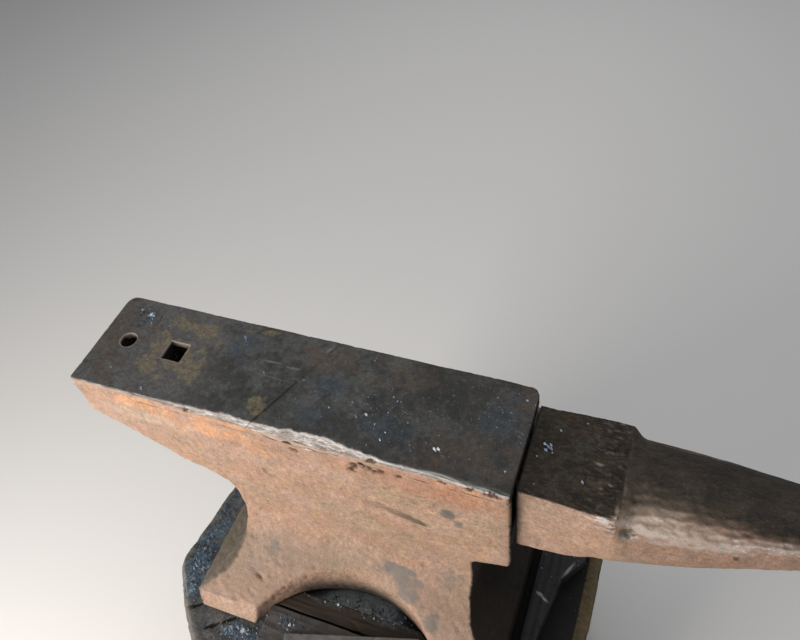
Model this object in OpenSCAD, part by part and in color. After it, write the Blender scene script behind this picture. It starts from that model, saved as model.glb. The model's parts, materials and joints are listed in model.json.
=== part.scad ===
// Blacksmith's anvil with a separate horn block, standing on a hewn log stump.
// Millimetres, +Z up, +X towards the horn. The origin is the middle of the
// stump's bottom face.

/* [Stump] */
// Radius of the log
stump_r = 292; // [285:1:320]
// Height of the log, floor to top face
stump_h = 480; // [300:5:700]
// Distance from the middle of the log to the flat hewn under the heel
heel_flat = 250; // [246:1:275]
// Distance from the middle of the log to the flat hewn under the horn
horn_flat = 268; // [262:1:280]
// How far the heel's flat is turned from square
flat_turn = 5; // [0:1:8]
// Chamfer worn round the top rim
stump_rim = 7; // [2:1:15]
// How much wider the log is at the floor
stump_flare = 10; // [0:1:30]

/* [Anvil body] */
// Height from the top of the stump to the face
anvil_h = 320; // [300:1:340]
// Length of the face, heel end to horn block
face_l = 501; // [480:1:520]
// Width of the face and of the body below it
face_w = 127; // [115:1:140]
// Distance from the heel end to the middle of the stump
heel_to_middle = 326; // [310:1:335]
// Thickness of the heel at its end, face plate included
heel_t = 66; // [58:1:74]
// Bow of the heel's end face
heel_bow = 5; // [1:1:8]
// Depth of the heel where its underside reaches the shoulder
shoulder_d = 128; // [120:1:134]
// Distance from the heel end to the shoulder
shoulder_x = 106; // [96:1:116]
// Distance from the heel end to the back of the waist
waist_x = 163; // [155:1:170]
// Length of the waist
waist_l = 296; // [280:1:300]
// Depth of the square front of the body below the face
front_d = 151; // [140:1:165]
// How much lower the underside of the front is where it meets the waist
front_slope = 13; // [4:1:20]

/* [Feet] */
// Distance from the heel end to the back edge of the feet
base_x = 120; // [105:1:130]
// Length of the base along the anvil
base_l = 391; // [385:1:400]
// Width of the base across the feet
base_w = 333; // [320:1:350]
// Height of the upright edge of the feet
foot_h = 40; // [30:1:46]
// Lean of the upright edge of the feet
foot_lean = 6; // [1:1:10]
// Radius of the cove between waist and feet at the sides
side_cove_r = 55; // [48:1:60]
// Radius of the cove between waist and feet at the ends
end_cove_r = 32; // [26:1:36]
// Rise of the sloping top of a foot towards the cove at the sides
side_slope = 30; // [25:1:34]
// Rise of the sloping top of a foot towards the cove at the ends
end_slope = 20; // [16:1:24]
// Distance between neighbouring feet on a long side
arch_w = 260; // [240:1:270]
// Depth of the arch between these feet, seen from above
arch_d = 80; // [70:1:88]
// Distance from the middle of the base to the middle of the arches
arch_shift = 11.5; // [0:0.5:16]
// Height to which the arches run up
arch_h = 115; // [100:1:125]
// Width left between the top of each arch and the side of the body
arch_skin = 1.6; // [1:0.1:3]

/* [Face plates] */
// Thickness of the steel face
plate_t = 12; // [9:0.5:16]
// Distance from the heel end to the seam, at the near edge
seam_near_x = 226; // [200:1:240]
// Distance from the heel end to the seam, at the far edge
seam_far_x = 279; // [255:1:300]
// Open width of the seam between the two plates
seam_gap = 0.3; // [0.2:0.1:1]
// Radius of the rounded corners at the far side of the face
far_corner_r = 11; // [4:1:18]
// Radius of the corners at the near side of the face
near_corner_r = 4; // [2:1:10]
// How far the plate stands out over the front of the body
plate_overhang = 3; // [1:0.5:5]

/* [Holes] */
// Width of the square hardy hole
hardy_w = 25.5; // [20:0.5:30]
// Distance from the heel end to the middle of the hardy hole
hardy_x = 99.6; // [92:0.1:106]
// Diameter of the round pritchel hole
pritchel_d = 20; // [12:0.5:24]
// Distance from the heel end to the middle of the pritchel hole
pritchel_x = 35.8; // [30:0.1:50]
// Distance of both holes from the middle line, towards the far side
hole_y = 2.5; // [-8:0.1:8]

/* [Horn block] */
// Gap between the end of the face and the horn block
joint_gap = 2.5; // [1:0.1:5]
// Length of the table
table_l = 91; // [80:1:105]
// Width of the horn block at the table
table_w = 101; // [90:1:108]
// Drop from the face to the table
table_drop = 8; // [5:0.5:14]
// Depth of the underside of the block below the face
block_d = 123; // [110:1:135]
// Length of the horn from the table to its tip
horn_l = 285; // [250:1:330]
// Diameter of the horn's root, just past the table
horn_d = 121; // [112:1:126]
// How full the horn stays along its length
horn_fullness = 1.3; // [1.1:0.02:2]
// Rise of the horn's middle line from root to tip
horn_rise = 54; // [44:1:58]
// Length of the shoulder where the table's square edges end
shoulder_l = 14; // [8:1:24]
// Diameter of the blunt tip
tip_d = 16; // [10:1:24]
// Width of the tenon that carries the block
tenon_w = 50; // [40:1:60]
// Height of the tenon
tenon_h = 60; // [50:1:70]
// Length of the tenon inside the body
tenon_l = 70; // [50:1:90]
// Clearance round the tenon
tenon_fit = 0.3; // [0.2:0.1:0.5]

/* [Packing on the stump] */
// Thickness of the two packing boards
board_t = 20; // [15:1:25]
// Length of the packing boards
board_l = 205; // [190:1:212]
// Distance from the foot at the heel side to the boards
board_inset = 18; // [14:1:24]
// Width of the board inside the arch
inner_board_w = 24; // [20:1:30]
// Width of the board outside the arch
outer_board_w = 62; // [50:1:70]
// Distance of the slit between the boards from the long side of the base
board_slit_inset = 27; // [23:1:31]
// Width of the slit between the boards
board_slit = 2.5; // [1:0.5:4]
// Room between the inner board and the arch
board_room = 5; // [3:1:8]
// Thickness of the flat bar that lies on the boards
bar_t = 8; // [5:0.5:12]
// Width of the flat bar
bar_w = 38; // [30:1:45]
// Length of the flat bar
bar_l = 165; // [140:1:172]
// Angle of the flat bar to the anvil
bar_turn = 16; // [10:1:18]
// Distance from the boards' end to the bar's corner
bar_inset = 34; // [20:1:40]
// Distance from the slit to the bar's corner
bar_off_slit = 29; // [24:1:36]
// Thickness of the wedge in front of the feet
wedge_t = 22; // [15:1:30]
// Width of the wedge at its thin end
wedge_thin = 13; // [8:1:18]
// Width of the wedge where its head begins
wedge_mid = 32; // [26:1:36]
// Width of the wedge's head
wedge_thick = 54; // [44:1:56]
// Length of the wedge up to its head
wedge_run = 110; // [90:1:130]
// Length of the wedge's head
wedge_head = 62; // [50:1:70]
// Distance of the wedge's head from the middle line
wedge_head_y = 0; // [-20:1:10]
// Gap between the front feet and the wedge
wedge_gap = 9; // [4:1:12]

/* [Hidden] */
$fn = 96;
arc_steps = 10;
past = 1;
heel_x = -heel_to_middle;
body_top = anvil_h - plate_t;
body_front = face_l - plate_overhang;
waist_front = waist_x + waist_l;
base_front = base_x + base_l;
end_cove_turn = 60;
side_cove_turn = 65;
heel_corner = 9;
heel_upright = 6;
heel_hollow = 6;
shoulder_run = 25;
shoulder_drop = 5;
shoulder_round = 46;
shoulder_bulge = 8;
front_chamfer = 6;
// The arch is a circle seen from above, set by its width and depth
arch_r = (pow(arch_w / 2, 2) + pow(arch_d, 2)) / (2 * arch_d);
arch_x = base_x + base_l / 2 + arch_shift;
arch_y = base_w / 2 - arch_d + arch_r;
block_x = face_l + joint_gap;
table_end = block_x + table_l;
horn_tip = table_end + horn_l;
tenon_z = anvil_h - (table_drop + block_d) / 2;
board_x = arch_x - arch_w / 2 + board_inset;
board_side_y = base_w / 2 - board_slit_inset;
corner_steps = 6;
ring_sides = 40;

// Points on a round arc from a to b; a positive sagitta bows it to the left
function arc(a, b, sag, n = arc_steps) =
    let (c = norm(b - a) / 2,
        r = (c * c + sag * sag) / (2 * abs(sag)),
        half = 2 * atan(abs(sag) / c),
        along = (b - a) / (2 * c),
        left = [-along[1], along[0]] * sign(sag),
        mid = (a + b) / 2 + left * (abs(sag) - r))
    [for (i = [0:n]) let (t = -half + 2 * half * i / n)
        mid + along * r * sin(t) + left * r * cos(t)];

// A cove that starts upright at p and turns outwards (side 1 right, -1 left)
function cove(p, r, turn, side) =
    [for (i = [0:arc_steps]) let (t = turn * i / arc_steps)
        p + [side * r * (1 - cos(t)), -r * sin(t)]];

// A rounded corner of a plan outline about centre c
function corner(c, r, from) =
    [for (i = [0:corner_steps]) let (t = from + 90 * i / corner_steps) c + r * [cos(t), sin(t)]];

function mirrored(points) = [for (i = [len(points) - 1:-1:0]) [-points[i][0], points[i][1]]];

// Places the anvil's own frame (heel end, middle line, top of the stump)
module on_stump() {
    translate([heel_x, 0, stump_h]) children();
}

// Side outline of the body, X from the heel end and Z from the stump
module side_outline() {
    slope_start = foot_h + end_slope;
    cove_drop = end_cove_r * sin(end_cove_turn);
    bow_x = -heel_bow / 2;
    heel_low = anvil_h - heel_t;
    shoulder_low = anvil_h - shoulder_d;
    under = concat(
        arc([bow_x, body_top - heel_upright], [bow_x, heel_low + heel_corner], bow_x),
        arc([heel_corner, heel_low], [shoulder_x, shoulder_low], heel_hollow),
        arc([shoulder_x + shoulder_run, shoulder_low - shoulder_drop], [waist_x, shoulder_low - shoulder_round],
            shoulder_bulge),
        cove([waist_x, slope_start + cove_drop], end_cove_r, end_cove_turn, -1));
    foot = [[base_x + foot_lean / 2, foot_h], [base_x, 0], [base_front, 0], [base_front - foot_lean / 2, foot_h]];
    front_cove = cove([waist_front, slope_start + cove_drop], end_cove_r, end_cove_turn, 1);
    inner_low = anvil_h - front_d - front_slope;
    front = concat(
        [for (i = [arc_steps:-1:0]) front_cove[i]],
        [[waist_front, inner_low - front_chamfer], [waist_front + front_chamfer, inner_low]],
        [[body_front, anvil_h - front_d], [body_front, body_top]]);
    polygon(concat([[0, body_top]], under, foot, front));
}

// End outline of the body, Y across and Z from the stump
module end_outline() {
    slope_start = foot_h + side_slope;
    cove_drop = side_cove_r * sin(side_cove_turn);
    right = concat(
        [[face_w / 2, body_top]],
        cove([face_w / 2, slope_start + cove_drop], side_cove_r, side_cove_turn, 1),
        [[base_w / 2 - foot_lean, foot_h], [base_w / 2, 0]]);
    polygon(concat(right, mirrored(right)));
}

// Hollow between two neighbouring feet, widening as it runs up into the side
module arch_hollow() {
    high_r = arch_y - face_w / 2 - arch_skin;
    translate([arch_x, -arch_y, 0])
        rotate_extrude()
            polygon(concat([[0, -past], [arch_r, -past]], arc([arch_r, 0], [high_r, arch_h], 14), [[0, arch_h]]));
}

// Takes the sharp upright edge off the body; centre c, radius r, first angle of the round
module upright_edge(c, r, from) {
    translate([c[0], c[1], anvil_h - front_d - front_slope])
        rotate([0, 0, from])
            linear_extrude(front_d + front_slope)
                difference() {
                    square(r + past);
                    circle(r);
                }
}

module upright_edges() {
    far_y = face_w / 2;
    upright_edge([far_corner_r, far_y - far_corner_r - heel_bow], far_corner_r + heel_bow, 90);
    upright_edge([near_corner_r, near_corner_r + heel_bow - far_y], near_corner_r + heel_bow, 180);
    upright_edge([body_front - near_corner_r, near_corner_r - far_y], near_corner_r, 270);
    upright_edge([body_front - far_corner_r, far_y - far_corner_r], far_corner_r, 0);
}

module holes() {
    translate([hardy_x - hardy_w / 2, hole_y - hardy_w / 2, anvil_h - front_d])
        cube([hardy_w, hardy_w, front_d + past]);
    translate([pritchel_x, hole_y, anvil_h - front_d])
        cylinder(d = pritchel_d, h = front_d + past);
}

module stump() {
    color("#6e6050")
        difference() {
            rotate_extrude()
                polygon([[0, 0], [stump_r + stump_flare, 0], [stump_r, stump_h - stump_rim * 3],
                    [stump_r, stump_h - stump_rim], [stump_r - stump_rim, stump_h], [0, stump_h]]);
            translate([horn_flat, -stump_r, -past])
                cube([stump_r, 2 * stump_r, stump_h + 2 * past]);
            rotate([0, 0, -flat_turn])
                translate([-heel_flat - stump_r, -stump_r, -past])
                    cube([stump_r, 2 * stump_r, stump_h + 2 * past]);
        }
}

module anvil_body() {
    color("#8c5f4a")
        on_stump()
            difference() {
                intersection() {
                    translate([0, base_w / 2 + past, 0])
                        rotate([90, 0, 0])
                            linear_extrude(base_w + 2 * past) side_outline();
                    translate([-heel_bow - past, 0, 0])
                        rotate([90, 0, 90])
                            linear_extrude(base_front + heel_bow + 2 * past) end_outline();
                }
                arch_hollow();
                mirror([0, 1, 0]) arch_hollow();
                upright_edges();
                holes();
                translate([body_front - tenon_l - tenon_fit, -tenon_w / 2 - tenon_fit, tenon_z - tenon_h / 2 - tenon_fit])
                    cube([tenon_l + tenon_fit + past, tenon_w + 2 * tenon_fit, tenon_h + 2 * tenon_fit]);
            }
}

// The two ends of the slanting seam across the face, shifted along X
function seam(shift) = [[seam_near_x + shift, -face_w / 2], [seam_far_x + shift, face_w / 2]];

module face_plate_heel() {
    color("#4c4642")
        on_stump()
            translate([0, 0, body_top])
                difference() {
                    linear_extrude(plate_t)
                        polygon(concat(seam(-seam_gap / 2),
                            corner([far_corner_r, face_w / 2 - far_corner_r], far_corner_r, 90),
                            corner([near_corner_r, -face_w / 2 + near_corner_r], near_corner_r, 180)));
                    translate([0, 0, -body_top]) holes();
                }
}

module face_plate_front() {
    color("#544a44")
        on_stump()
            translate([0, 0, body_top])
                linear_extrude(plate_t)
                    polygon(concat([seam(seam_gap / 2)[1], seam(seam_gap / 2)[0]],
                        corner([face_l - near_corner_r, -face_w / 2 + near_corner_r], near_corner_r, 270),
                        corner([face_l - far_corner_r, face_w / 2 - far_corner_r], far_corner_r, 0)));
}

// Sections of the horn block at a distance x from the heel end. Below, the square block
// turns round along the table; above, it stays square up to the table's end. From there
// the horn draws down to the tip while its middle line rises.
function mix(a, b, t) = a + (b - a) * t;
function past_table(x) = max(0, x - table_end);
function along_table(x) = min(1, (x - block_x) / table_l);
function low_power(x) = 2 + 24 * pow(1 - along_table(x), 2);
function high_power(x) = 2 + 8 * (1 - along_table(x)) + 2 * pow(max(0, 1 - past_table(x) / shoulder_l), 2);
function horn_r(x) = mix(horn_d / 2, tip_d / 2, pow(past_table(x) / horn_l, horn_fullness));
function tip_cap(x) = let (u = max(0, (x - horn_tip) / (tip_d / 2) + 1)) sqrt(max(0, 1 - u * u));
function axis_z(x) = anvil_h - horn_d / 2 + horn_rise * pow(past_table(x) / horn_l, 0.92);
function signed_power(v, e) = sign(v) * pow(abs(v), e);

function ring(x) =
    let (w = mix(table_w / 2, horn_r(x), pow(along_table(x), 2)) * tip_cap(x),
        h = mix(block_d / 2, horn_r(x), along_table(x)) * tip_cap(x),
        mid = mix(anvil_h - block_d / 2, axis_z(x), along_table(x)))
    [for (i = [0:ring_sides - 1])
        let (a = 360 * (i + 0.5) / ring_sides, e = 2 / (a < 180 ? high_power(x) : low_power(x)))
        [x, w * signed_power(cos(a), e), mid + h * signed_power(sin(a), e)]];

function stations(a, b, n) = [for (k = [1:n]) mix(a, b, k / n)];

module horn_loft() {
    cap_x = horn_tip - tip_d / 2;
    places = concat([block_x], stations(block_x, table_end, 7),
        stations(table_end, table_end + shoulder_l, 3),
        stations(table_end + shoulder_l, cap_x, 18),
        [for (t = [25, 48, 68, 82]) cap_x + tip_d / 2 * sin(t)]);
    rings = [for (x = places) ring(x)];
    last = (len(rings) - 1) * ring_sides;
    sides = [for (k = [0:len(rings) - 2]) for (i = [0:ring_sides - 1])
        let (j = (i + 1) % ring_sides, a = k * ring_sides, b = a + ring_sides)
        [a + j, a + i, b + i, b + j]];
    caps = [[for (i = [0:ring_sides - 1]) i], [for (i = [ring_sides - 1:-1:0]) last + i]];
    polyhedron([for (r = rings) for (p = r) p], concat(sides, caps));
}

module horn_block() {
    color("#6a5044")
        on_stump() {
            difference() {
                horn_loft();
                translate([block_x - past, -table_w, anvil_h - table_drop])
                    cube([table_l + past, 2 * table_w, table_drop + past]);
            }
            translate([body_front - tenon_l, -tenon_w / 2, tenon_z - tenon_h / 2])
                cube([tenon_l + joint_gap + plate_overhang + past, tenon_w, tenon_h]);
        }
}

module inner_board() {
    color("#4a3b2e")
        on_stump()
            intersection() {
                translate([board_x, -board_side_y, 0])
                    cube([board_l, inner_board_w, board_t]);
                translate([arch_x, -arch_y, 0])
                    cylinder(r = arch_r - board_room, h = board_t);
            }
}

module outer_board() {
    color("#55452f")
        on_stump()
            translate([board_x, -board_side_y - board_slit - outer_board_w, 0])
                cube([board_l, outer_board_w, board_t]);
}

module flat_bar() {
    color("#7d8086")
        on_stump()
            translate([board_x + bar_inset, -board_side_y - bar_off_slit - board_slit, board_t])
                rotate([0, 0, bar_turn])
                    translate([0, -bar_w, 0])
                        cube([bar_l, bar_w, bar_t]);
}

module wedge() {
    end_y = wedge_head + wedge_head_y;
    color("#3d3933")
        on_stump()
            translate([base_front + wedge_gap, 0, 0])
                linear_extrude(wedge_t)
                    polygon([[0, wedge_head_y - wedge_run], [wedge_thin, wedge_head_y - wedge_run],
                        [wedge_mid, wedge_head_y], [wedge_thick, wedge_head_y + wedge_head / 2],
                        [wedge_thick, end_y], [0, end_y]]);
}

stump();
anvil_body();
face_plate_heel();
face_plate_front();
horn_block();
inner_board();
outer_board();
flat_bar();
wedge();
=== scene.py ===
import json
import math
import random

import bpy
import numpy as np
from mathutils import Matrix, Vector, noise
from mathutils.bvhtree import BVHTree


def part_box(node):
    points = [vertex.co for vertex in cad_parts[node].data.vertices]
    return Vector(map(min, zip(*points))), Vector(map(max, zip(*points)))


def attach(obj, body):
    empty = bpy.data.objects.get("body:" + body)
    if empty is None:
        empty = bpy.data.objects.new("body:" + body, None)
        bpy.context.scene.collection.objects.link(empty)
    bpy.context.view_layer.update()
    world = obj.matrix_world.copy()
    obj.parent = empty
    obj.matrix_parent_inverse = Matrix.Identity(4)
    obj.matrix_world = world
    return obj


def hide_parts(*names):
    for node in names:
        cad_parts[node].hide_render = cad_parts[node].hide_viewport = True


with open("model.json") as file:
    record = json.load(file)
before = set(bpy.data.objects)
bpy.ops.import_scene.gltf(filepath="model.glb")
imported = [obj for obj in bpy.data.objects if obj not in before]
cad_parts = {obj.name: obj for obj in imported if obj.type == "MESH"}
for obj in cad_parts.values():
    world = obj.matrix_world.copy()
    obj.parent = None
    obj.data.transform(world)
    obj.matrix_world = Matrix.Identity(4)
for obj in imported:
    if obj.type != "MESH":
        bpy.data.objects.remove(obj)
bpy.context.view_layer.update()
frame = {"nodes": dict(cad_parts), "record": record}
print("anvil: frame loaded with", len(frame["nodes"]), "pieces")


# Camera, lights and floor

viewpoint = {
    "place": (0.2562, -0.3671, 1.4196),
    "turn": (40.736, 6.394, 20.425),  # degrees about X, Y and Z
    "lens": 33.3,  # mm on a sensor 36 mm wide
    "sensorWidth": 36.0,
}

studio = {
    # each light: place, the point it faces, width, height, watts, colour
    "sideGlow": ((-0.84, -1.24, 0.84), (-0.1, 0.0, 0.68), 1.1, 0.95, 36.0, (1.0, 0.95, 0.9)),
    "roofGlow": ((0.1, 0.6, 3.2), (0.05, 0.0, 0.6), 3.0, 3.0, 40.0, (0.95, 0.97, 1.0)),
    "backGlow": ((-0.4, 2.8, 1.6), (0.0, 0.0, 0.6), 2.4, 1.6, 8.0, (0.95, 0.97, 1.0)),
    "airColour": (0.9, 0.93, 1.0),
    "airStrength": 0.2,
    "floorColour": (0.72, 0.7, 0.67),
    "floorSize": 12.0,
}


def faceTowards(thing, target):
    direction = Vector(target) - thing.location
    thing.rotation_euler = direction.to_track_quat("-Z", "Y").to_euler()


def placeCamera(stand):
    lens = bpy.data.cameras.new("viewpoint")
    lens.sensor_width = stand["sensorWidth"]
    lens.lens = stand["lens"]
    lens.clip_start = 0.01
    viewer = bpy.data.objects.new("viewpoint", lens)
    viewer.location = stand["place"]
    viewer.rotation_euler = [math.radians(angle) for angle in stand["turn"]]
    bpy.context.scene.collection.objects.link(viewer)
    bpy.context.scene.camera = viewer


def hangLight(name, place, target, width, height, watts, colour):
    panel = bpy.data.lights.new(name, "AREA")
    panel.shape = "RECTANGLE"
    panel.size = width
    panel.size_y = height
    panel.energy = watts
    panel.color = colour
    lamp = bpy.data.objects.new(name, panel)
    lamp.location = place
    bpy.context.scene.collection.objects.link(lamp)
    faceTowards(lamp, target)


def setStage(plan):
    for name in ("sideGlow", "roofGlow", "backGlow"):
        hangLight(name, *plan[name])
    world = bpy.data.worlds.new("studioAir")
    world.use_nodes = True
    air = world.node_tree.nodes["Background"]
    air.inputs["Color"].default_value = (*plan["airColour"], 1.0)
    air.inputs["Strength"].default_value = plan["airStrength"]
    bpy.context.scene.world = world
    bpy.context.scene.view_settings.view_transform = "Standard"
    half = plan["floorSize"] / 2
    mesh = bpy.data.meshes.new("floor")
    corners = [(-half, -half, 0), (half, -half, 0), (half, half, 0), (-half, half, 0)]
    mesh.from_pydata(corners, [], [(0, 1, 2, 3)])
    floor = bpy.data.objects.new("floor", mesh)
    bpy.context.scene.collection.objects.link(floor)
    paint = bpy.data.materials.new("palePaint")
    paint.use_nodes = True
    shader = paint.node_tree.nodes["Principled BSDF"]
    shader.inputs["Base Color"].default_value = (*plan["floorColour"], 1.0)
    shader.inputs["Roughness"].default_value = 0.85
    mesh.materials.append(paint)


placeCamera(viewpoint)
setStage(studio)
print("anvil: camera, lights and floor are set")


# Working a mesh: even skins, noise over points, dents and painted layers

def getPoints(mesh):
    flat = np.empty(len(mesh.vertices) * 3)
    mesh.vertices.foreach_get("co", flat)
    return flat.reshape(-1, 3)


def setPoints(mesh, points):
    mesh.vertices.foreach_set("co", points.reshape(-1))
    mesh.update()


def getNormals(mesh):
    flat = np.empty(len(mesh.vertices) * 3)
    mesh.vertex_normals.foreach_get("vector", flat)
    return flat.reshape(-1, 3)


def newPiece(name, mesh):
    piece = bpy.data.objects.new(name, mesh)
    bpy.context.scene.collection.objects.link(piece)
    return piece


def bakeModifiers(piece):
    depsgraph = bpy.context.evaluated_depsgraph_get()
    baked = bpy.data.meshes.new_from_object(piece.evaluated_get(depsgraph))
    piece.modifiers.clear()
    piece.data = baked
    piece.data.shade_smooth()
    return piece


def evenSkin(node, name, cell, softening):
    # a copy of the CAD solid with small even faces that can be dented and chipped
    piece = newPiece(name, frame["nodes"][node].data.copy())
    piece.data.materials.clear()
    low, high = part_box(node)
    cells = max(high - low) / cell
    remesh = piece.modifiers.new("evenFaces", "REMESH")
    remesh.mode = "SHARP"
    remesh.octree_depth = math.ceil(math.log2(cells / 0.98))
    remesh.scale = cells / 2 ** remesh.octree_depth
    remesh.use_remove_disconnected = False
    soften = piece.modifiers.new("softEdges", "SMOOTH")
    soften.iterations = softening
    return bakeModifiers(piece)


def noiseOver(points, cell, octaves=3, seed=0.0):
    # smooth noise from about -1 to 1; cell is one size or three
    scaled = points / np.array(cell) + np.array([seed * 7.31, seed * 3.17, seed * 5.93])
    return np.array([noise.fractal(place, 1.0, 2.0, octaves) for place in scaled.tolist()])


def pitsOver(points, cell, share, seed=0.0):
    # round pits, 1 in the middle of a pit and 0 outside, in about this share of the cells
    scaled = points / np.array(cell) + np.array([seed * 4.7, seed * 9.1, seed * 2.3])
    depths = np.zeros(len(points))
    for index, place in enumerate(scaled.tolist()):
        distances, centres = noise.voronoi(place)
        if noise.cell(centres[0] * 13.7) < share:
            depths[index] = max(0.0, 1.0 - (distances[0] / 0.42) ** 2)
    return depths


def smoothStep(values, low, high):
    t = np.clip((values - low) / (high - low), 0.0, 1.0)
    return t * t * (3 - 2 * t)


def bump(values, centre, width):
    return np.exp(-((values - centre) / width) ** 2)


def cutsOver(points, cuts):
    # narrow grooves: each cut has a start, an end, a half width and a depth
    depth = np.zeros(len(points))
    for start, end, halfWidth, deep in cuts:
        a = np.array(start)
        along = np.array(end) - a
        share = np.clip(((points - a) @ along) / (along @ along), 0.0, 1.0)
        gap = np.linalg.norm(points - a - share[:, None] * along, axis=1)
        taper = 0.35 + 0.65 * np.sin(math.pi * np.clip(share, 0.02, 0.98))
        depth = np.maximum(depth, deep * taper * np.clip(1 - gap / (halfWidth * taper), 0, 1))
    return depth


def patchesOver(points, patches, ragged=0.35, cell=0.014, seed=0.0):
    # share of each point inside ragged patches: centre, radius along X, Y and Z, and strength if not 1
    wobble = noiseOver(points, cell, 3, seed)
    share = np.zeros(len(points))
    for centre, radii, *strength in patches:
        distance = np.linalg.norm((points - np.array(centre)) / np.array(radii), axis=1)
        inside = smoothStep(1 - distance + wobble * ragged, 0.0, 0.45)
        share = np.maximum(share, inside * (strength[0] if strength else 1.0))
    return share


def getEdges(mesh):
    flat = np.empty(len(mesh.edges) * 2, dtype=np.int64)
    mesh.edges.foreach_get("vertices", flat)
    return flat.reshape(-1, 2)


def neighbourMean(values, edges):
    # mean of each point's neighbours, for one number a point
    count = np.bincount(edges.ravel(), minlength=len(values))
    total = np.bincount(edges[:, 0], values[edges[:, 1]], len(values))
    total += np.bincount(edges[:, 1], values[edges[:, 0]], len(values))
    return total / np.maximum(count, 1)


def meanPlace(points, edges):
    return np.stack([neighbourMean(points[:, axis], edges) for axis in range(3)], axis=1)


def standOut(mesh, rounds, scale):
    # how far each point stands out from its neighbours: 1 on worn edges, -1 in corners
    points = getPoints(mesh)
    edges = getEdges(mesh)
    proud = ((points - meanPlace(points, edges)) * getNormals(mesh)).sum(axis=1)
    for _ in range(rounds):
        proud = 0.5 * proud + 0.5 * neighbourMean(proud, edges)
    return np.clip(proud / scale, -1, 1)


def easeEdges(mesh, weights, rounds):
    # round the surface off where the weights are above 0
    points = getPoints(mesh)
    edges = getEdges(mesh)
    for _ in range(rounds):
        points += weights[:, None] * 0.6 * (meanPlace(points, edges) - points)
    setPoints(mesh, points)


def paintLayer(mesh, name, values):
    layer = mesh.attributes.new(name, "FLOAT", "POINT")
    layer.data.foreach_set("value", np.asarray(values, dtype=np.float32))


# Working a finish: short forms for the shader's nodes

def startFinish(name):
    finish = bpy.data.materials.new(name)
    finish.use_nodes = True
    return finish, finish.node_tree, finish.node_tree.nodes["Principled BSDF"]


def plug(tree, socket, value):
    if isinstance(value, bpy.types.NodeSocket):
        tree.links.new(value, socket)
    elif isinstance(value, tuple) and len(value) == 3 and socket.type == "RGBA":
        socket.default_value = (*value, 1.0)
    else:
        socket.default_value = value


def grain(tree, cell, detail=4.0, roughness=0.6, seed=0.0):
    # noise in the object's own coordinates; cell is one size or three, in metres
    sizes = cell if isinstance(cell, tuple) else (cell, cell, cell)
    coords = tree.nodes.new("ShaderNodeTexCoord")
    mapping = tree.nodes.new("ShaderNodeMapping")
    mapping.inputs["Scale"].default_value = [1 / size for size in sizes]
    mapping.inputs["Location"].default_value = (seed, seed * 1.7, seed * 0.6)
    speckle = tree.nodes.new("ShaderNodeTexNoise")
    speckle.inputs["Scale"].default_value = 1.0
    speckle.inputs["Detail"].default_value = detail
    speckle.inputs["Roughness"].default_value = roughness
    tree.links.new(coords.outputs["Object"], mapping.inputs["Vector"])
    tree.links.new(mapping.outputs["Vector"], speckle.inputs["Vector"])
    return speckle.outputs["Fac"]


def between(tree, value, low, high):
    # 0 at low, 1 at high, eased in between
    reach = tree.nodes.new("ShaderNodeMapRange")
    reach.interpolation_type = "SMOOTHSTEP"
    plug(tree, reach.inputs["Value"], value)
    reach.inputs["From Min"].default_value = low
    reach.inputs["From Max"].default_value = high
    return reach.outputs["Result"]


def swing(tree, value, low, high):
    # turns noise around 0.5 into a factor from low to high
    reach = tree.nodes.new("ShaderNodeMapRange")
    plug(tree, reach.inputs["Value"], value)
    reach.inputs["From Min"].default_value = 0.3
    reach.inputs["From Max"].default_value = 0.7
    reach.inputs["To Min"].default_value = low
    reach.inputs["To Max"].default_value = high
    return reach.outputs["Result"]


def patchy(tree, cell, detail, roughness, seed, low, high):
    # ragged patches out of noise: 0 at low, 1 at high
    return between(tree, grain(tree, cell, detail, roughness, seed), low, high)


def uneven(tree, cell, detail, roughness, seed, low, high):
    # a factor that wanders between low and high
    return swing(tree, grain(tree, cell, detail, roughness, seed), low, high)


def mottled(tree, colour, cell, low, high, seed):
    # lightens and darkens a colour by noise, from low to high times
    return blend(tree, 1.0, colour, uneven(tree, cell, 5.0, 0.7, seed, low, high), "MULTIPLY")


def veins(tree, cell, width, seed):
    # thin wavy lines, 1 in the middle of each
    off = sums(tree, "ABSOLUTE", sums(tree, "SUBTRACT", grain(tree, cell, 3.0, 0.6, seed), 0.5), 0.0)
    return between(tree, off, width, width * 0.25)


def times(tree, first, second):
    return sums(tree, "MULTIPLY", first, second)


def sums(tree, operation, first, second):
    node = tree.nodes.new("ShaderNodeMath")
    node.operation = operation
    plug(tree, node.inputs[0], first)
    plug(tree, node.inputs[1], second)
    return node.outputs[0]


def blend(tree, share, first, second, way="MIX"):
    node = tree.nodes.new("ShaderNodeMix")
    node.data_type = "RGBA"
    node.blend_type = way
    plug(tree, node.inputs[0], share)
    plug(tree, node.inputs[6], first)
    plug(tree, node.inputs[7], second)
    return node.outputs[2]


def layer(tree, name):
    node = tree.nodes.new("ShaderNodeAttribute")
    node.attribute_name = name
    return node.outputs["Fac"]


def laid(tree, name, share, under, over):
    # one colour over another, where a layer is painted
    return blend(tree, times(tree, layer(tree, name), share), under, over)


def shades(tree, value, stops):
    ramp = tree.nodes.new("ShaderNodeValToRGB")
    tree.links.new(value, ramp.inputs["Fac"])
    band = ramp.color_ramp
    while len(band.elements) < len(stops):
        band.elements.new(0.5)
    for element, (place, colour) in zip(band.elements, stops):
        element.position = place
        element.color = (*colour, 1.0)
    return ramp.outputs["Color"]


def raised(tree, shader, height, distance, strength=1.0):
    node = tree.nodes.new("ShaderNodeBump")
    node.inputs["Strength"].default_value = strength
    node.inputs["Distance"].default_value = distance
    tree.links.new(height, node.inputs["Height"])
    tree.links.new(node.outputs["Normal"], shader.inputs["Normal"])


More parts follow.
